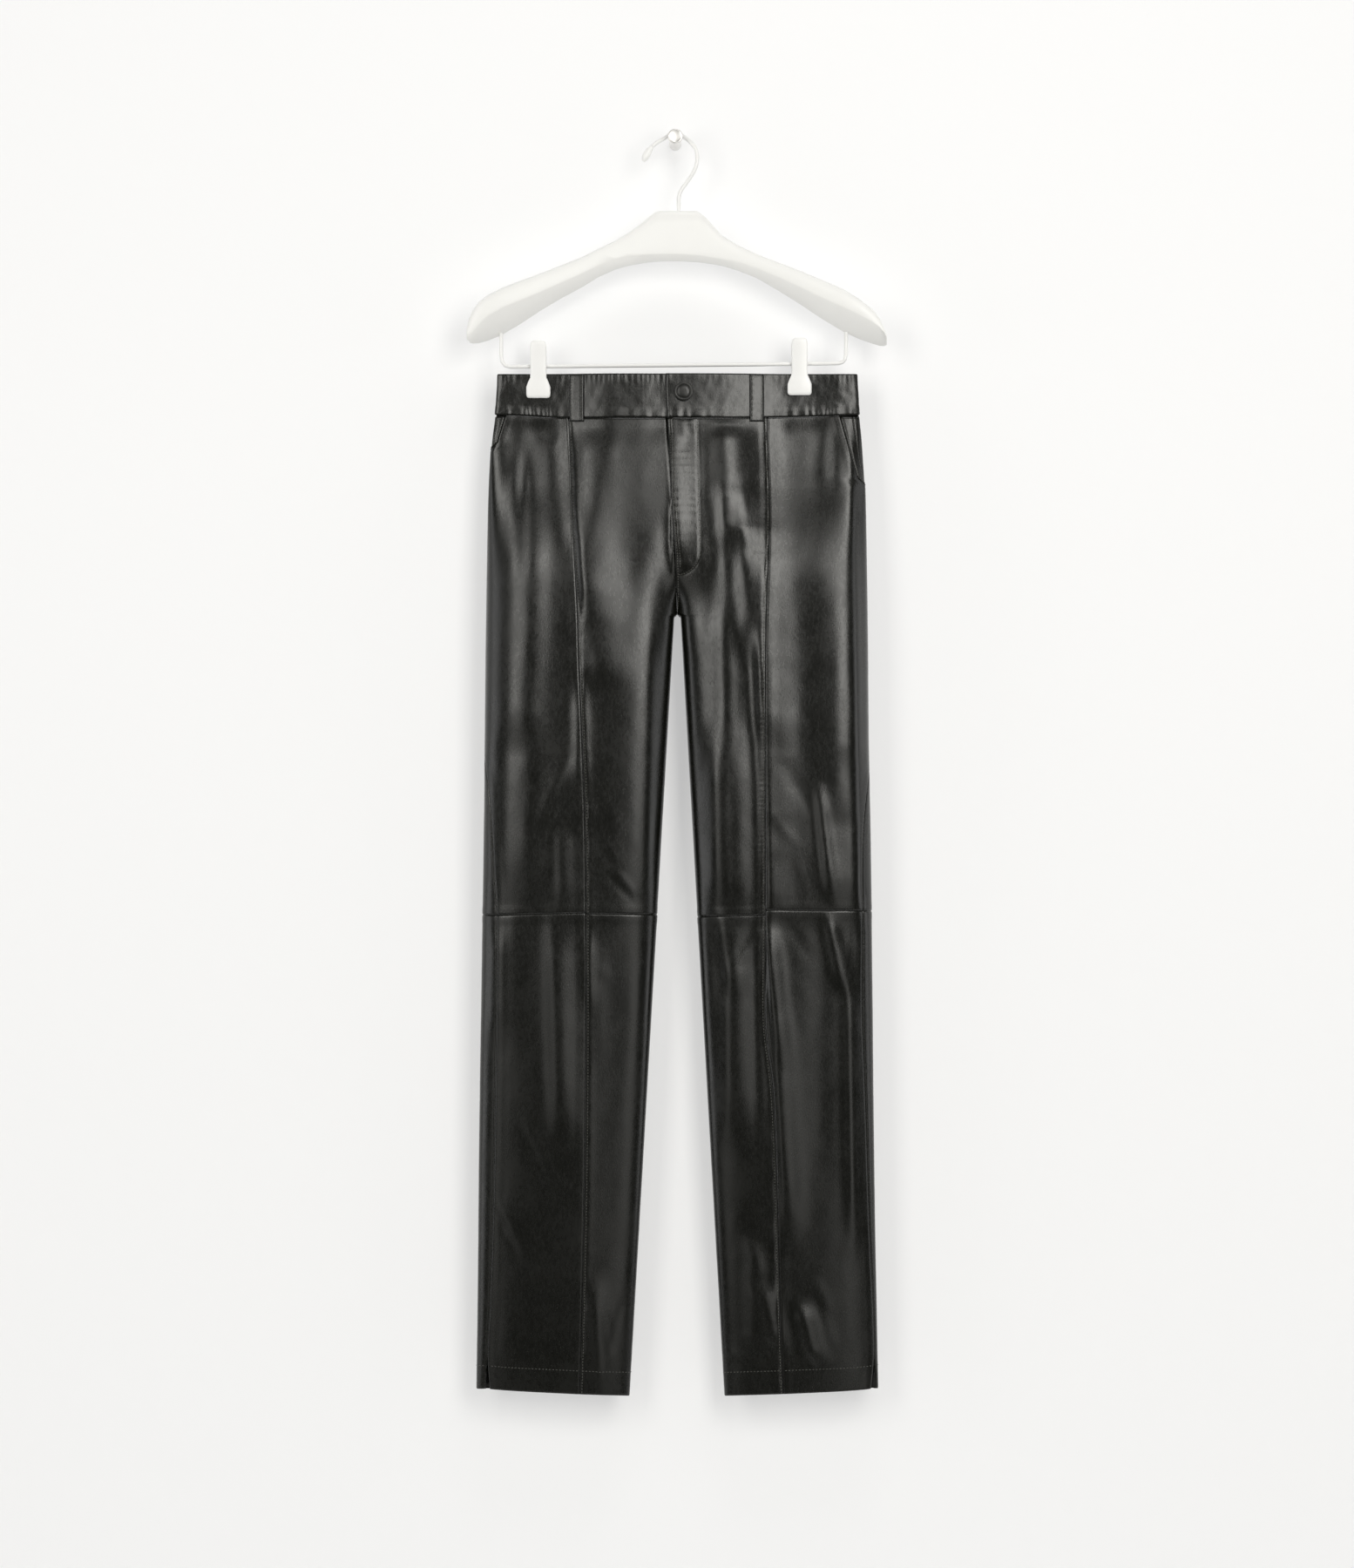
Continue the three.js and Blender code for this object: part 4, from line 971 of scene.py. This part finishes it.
def bent_wire(name, node, rows, radii, material):
    """Round wire along a smooth line through picture columns and rows, with rounded ends."""
    columns, down = np.array(rows, float).T
    run = np.concatenate([[0], np.cumsum(np.hypot(np.diff(columns), np.diff(down)))])
    along = np.linspace(0, run[-1], max(24, int(run[-1] / 1.6)))
    x, y = Line(*zip(run, columns))(along), Line(*zip(run, down))(along)
    thick = np.interp(along, np.linspace(0, run[-1], len(radii)), radii)
    curve = bpy.data.curves.new(name, "CURVE")
    curve.dimensions, curve.bevel_depth, curve.bevel_resolution = "3D", MM, 4
    curve.use_fill_caps = True
    spline = curve.splines.new("POLY")
    spline.points.add(len(along) - 1)
    for point, px, py, r in zip(spline.points, x, y, thick):
        point.co = (mm_x(px) * MM, MID_Y * MM, mm_z(py) * MM, 1.0)
        point.radius = r
    obj = bpy.data.objects.new(name, curve)
    bpy.context.scene.collection.objects.link(obj)
    pick(obj)
    bpy.ops.object.convert(target="MESH")
    bpy.ops.object.shade_smooth_by_angle(angle=math.radians(60))
    obj.data.materials.clear()
    obj.data.materials.append(material)
    stands_for(obj, node)


bent_wire("hook_wire", "hanger_hook", (
    (779, 243.4), (779, 234), (779.2, 226), (782, 218), (789, 208.3), (796.5, 196.6), (799.6, 188),
    (800.3, 180), (798.6, 171.6), (793, 164), (787, 158.7), (781, 154.6), (775, 153.1), (769, 154.4),
    (762.8, 158.6), (754, 163.6), (748.5, 168.2)), [2.0, 2.0], COATED)
bent_wire("hook_tip_sleeve", "hook_sleeve", (
    (748, 168.6), (747.4, 169.4), (744.6, 173.2), (740.6, 180.6), (739, 183.8), (738.4, 185)),
    [2.2, 2.9, 3.3, 3.6, 3.8, 3.8, 3.6, 3.0, 1.6], CLIP)
for node, material, slot, soft_edge in (
        ("hanger_body", WHITE, "hanger_white", 0.7), ("trouser_bar", COATED, "wire_steel", 0.3),
        ("wall_peg", STEEL, "peg_steel", 0.3),
        ("clip_front_r", CLIP, "clip_white", 0.5), ("clip_back_r", CLIP, "clip_white", 0.5),
        ("clip_core_r", CLIP, "clip_white", 0.3), ("clip_front_l", CLIP, "clip_white", 0.5),
        ("clip_back_l", CLIP, "clip_white", 0.5), ("clip_core_l", CLIP, "clip_white", 0.3)):
    finished_hard(node, material, soft_edge)


def face_front(obj):
    """Edit mode with only the largest face that looks to the front selected."""
    for face in obj.data.polygons:
        face.select = False
    faces = [f for f in obj.data.polygons if f.normal.y < -0.99]
    max(faces, key=lambda f: f.area).select = True
    bpy.ops.object.mode_set(mode="EDIT")


BUTTON_COLUMN, BUTTON_ROW = 784.6, 450.6
BUTTON_RADIUS, BUTTON_DEEP = 9.2, 3.8


def covered_button():
    place = cloth(1, at_column(1, BUTTON_COLUMN, BUTTON_ROW), BUTTON_ROW)
    bpy.ops.object.select_all(action="DESELECT")
    bpy.ops.mesh.primitive_cylinder_add(
        vertices=56, radius=BUTTON_RADIUS * MM, depth=BUTTON_DEEP * MM, rotation=(math.pi / 2, 0, 0),
        location=[float(at) * MM for at in (place[0], place[1] - BUTTON_DEEP / 2, place[2])])
    obj = bpy.context.object
    obj.name = "leather_waist_button"
    bpy.ops.object.transform_apply(location=True, rotation=True, scale=True)
    bpy.ops.object.mode_set(mode="EDIT")
    bpy.ops.mesh.select_all(action="DESELECT")
    bpy.ops.mesh.select_mode(type="FACE")
    bpy.ops.object.mode_set(mode="OBJECT")
    face_front(obj)
    for inset, move in ((0.9, -0.35), (1.1, 0.1), (0.5, 1.1), (0.7, -0.5), (1.6, -0.35), (2.0, -0.1)):
        bpy.ops.mesh.inset(thickness=inset * MM)
        bpy.ops.transform.translate(value=(0, move * MM, 0))
    bpy.ops.object.mode_set(mode="OBJECT")
    bevel = obj.modifiers.new("soft edges", "BEVEL")
    bevel.width, bevel.segments, bevel.limit_method = 0.35 * MM, 3, "ANGLE"
    bpy.ops.object.modifier_apply(modifier=bevel.name)
    bpy.ops.object.shade_smooth_by_angle(angle=math.radians(50))
    # lighter leather on the button: painted sheen
    obj.data.materials.append(SHEEN_LIT_BUTTON_LEATHER)
    stands_for(obj, "waist_button")


covered_button()
SEAM_STITCH, HEM_STITCH, LOOP_STITCH, WELT_STITCH = 2.2, 23.5, 1.9, 1.0  # mm from the edge
thread = Thread("stitches_front")
for tag in "rl":
    for part in ("upper", "lower"):
        thread.sew(*cuts["front_centre_%s_%s" % (part, tag)].line("right", SEAM_STITCH))
    for part in ("centre", "side"):
        thread.sew(*cuts["front_%s_lower_%s" % (part, tag)].line("bottom", HEM_STITCH), pitch=3.4)
    for way in ("left", "right"):
        thread.sew(*cuts["belt_loop_front_" + tag].line(way, LOOP_STITCH), pitch=2.8, long=2.0)
    for way in ("right", "left"):
        thread.sew(*cuts["pocket_welt_" + tag].line(way, WELT_STITCH), pitch=2.6, long=1.9)
for from_edge, end in ((2.0, 0.42), (4.6, 0.31)):
    thread.sew(*cuts["front_centre_upper_l"].line("left", from_edge, 0.0, end), pitch=2.6, long=1.9)
curve_column, curve_row = fly_curve()
fly_v = at_column(1, curve_column, curve_row)
fly_at = cloth(1, fly_v, curve_row)
fly_at[:, 1] -= leather_relief(curve_column, curve_row, np.zeros(len(curve_row), bool)) + 0.25
thread.sew(fly_at, np.tile([0.0, -1.0, 0.0], (len(fly_at), 1)), pitch=2.6, long=1.9)
thread.build(THREAD)
thread = Thread("stitches_back")
for tag in "rl":
    for part in ("side", "centre"):
        thread.sew(*cuts["back_%s_lower_%s" % (part, tag)].line("bottom", HEM_STITCH), pitch=3.4)
    for part in ("upper", "lower"):
        thread.sew(*cuts["back_centre_%s_%s" % (part, tag)].line("left", SEAM_STITCH))
    for way in ("left", "right"):
        thread.sew(*cuts["belt_loop_back_" + tag].line(way, LOOP_STITCH), pitch=2.8, long=2.0)
thread.sew(*cuts["back_centre_upper_l"].line("right", SEAM_STITCH, 0.0, 0.40))
thread.build(THREAD)


# Camera level with the middle of the picture, four metres in front of the garment.
camera_data = bpy.data.cameras.new("camera")
camera_data.lens = 91.95
camera_data.sensor_width = 36.0
camera = bpy.data.objects.new("camera", camera_data)
camera.location = (mm_x(777) * MM, (MID_Y - 4000) * MM, mm_z(900) * MM)
camera.rotation_euler = (math.pi / 2, 0, 0)
bpy.context.scene.collection.objects.link(camera)
bpy.context.scene.camera = camera


def lamp(name, place, target, size, power, colour=(1, 1, 1)):
    data = bpy.data.lights.new(name, "AREA")
    data.shape, data.size, data.size_y = "RECTANGLE", size[0], size[1]
    data.energy, data.color = power, colour
    obj = bpy.data.objects.new(name, data)
    obj.location = place
    way = np.array(place) - np.array(target)
    obj.rotation_mode = "QUATERNION"
    obj.rotation_quaternion = Vector(way).to_track_quat("Z", "Y")
    bpy.context.scene.collection.objects.link(obj)
    return obj


def backdrop(name, corners, material, shadow=True):
    obj = mesh_object(name, np.array(corners, float), np.array([[0, 1, 2, 3]]), material, False)
    obj.visible_shadow = shadow
    return obj


wall = Finish("pale_wall", Roughness=0.9, Specular_IOR_Level=0.1, Emission_Strength=0.455)
wall.surface.inputs["Base Color"].default_value = (0.50, 0.50, 0.50, 1)
wall.surface.inputs["Emission Color"].default_value = (1, 1, 1, 1)
clear = wall.tree.nodes.new("ShaderNodeBsdfTransparent")
side_of = wall.tree.nodes.new("ShaderNodeNewGeometry")
choose = wall.tree.nodes.new("ShaderNodeMixShader")
wall.tree.links.new(side_of.outputs["Backfacing"], choose.inputs[0])
wall.tree.links.new(wall.surface.outputs[0], choose.inputs[1])
wall.tree.links.new(clear.outputs[0], choose.inputs[2])
wall.tree.links.new(choose.outputs[0], wall.output.inputs[0])
floor = Finish("pale_floor", Roughness=0.85, Specular_IOR_Level=0.1)
floor.surface.inputs["Base Color"].default_value = (0.7, 0.7, 0.7, 1)
backdrop("wall", [(-4, 0.0015, -1.9), (4, 0.0015, -1.9), (4, 0.0015, 2.6), (-4, 0.0015, 2.6)],
         wall.material, shadow=False)
backdrop("floor", [(-5, -1.3, -1.9), (5, -1.3, -1.9), (5, 5, -1.9), (-5, 5, -1.9)], floor.material)

world = bpy.data.worlds.new("room")
world.use_nodes = True
world.node_tree.nodes["Background"].inputs[0].default_value = (1, 1, 1, 1)
world.node_tree.nodes["Background"].inputs[1].default_value = 0.07
bpy.context.scene.world = world
bpy.context.scene.view_settings.view_transform = "Standard"
WARM = (1.0, 0.985, 0.94)
lamp("key", (0.95, -2.45, 0.15), (0, 0, -0.4), (0.9, 1.7), 33, WARM)
lamp("key_low", (0.95, -2.45, -1.25), (0, 0, -1.0), (0.9, 1.0), 3, WARM)
lamp("second", (-1.3, -2.3, 0.1), (0, 0, -0.4), (0.8, 1.6), 21, WARM)
lamp("second_low", (-1.3, -2.3, -1.2), (0, 0, -0.9), (0.8, 0.9), 1.8, WARM)
lamp("front", (0.25, -2.6, 0.6), (0, 0, -0.35), (0.7, 0.6), 5, WARM)
lamp("side_left", (-2.8, -0.8, -0.6), (0, 0, -0.8), (1.2, 2.0), 14)
lamp("side_right", (2.8, -0.8, -0.6), (0, 0, -0.8), (1.2, 2.0), 12)
lamp("top", (0.3, -1.2, 2.2), (0, 0, -0.6), (1.2, 0.7), 14)
lamp("behind_right", (1.2, 1.8, 0.4), (0, 0, -0.6), (1.0, 1.6), 10)
lamp("behind_left", (-1.3, 1.8, 0.2), (0, 0, -0.6), (1.0, 1.6), 8)
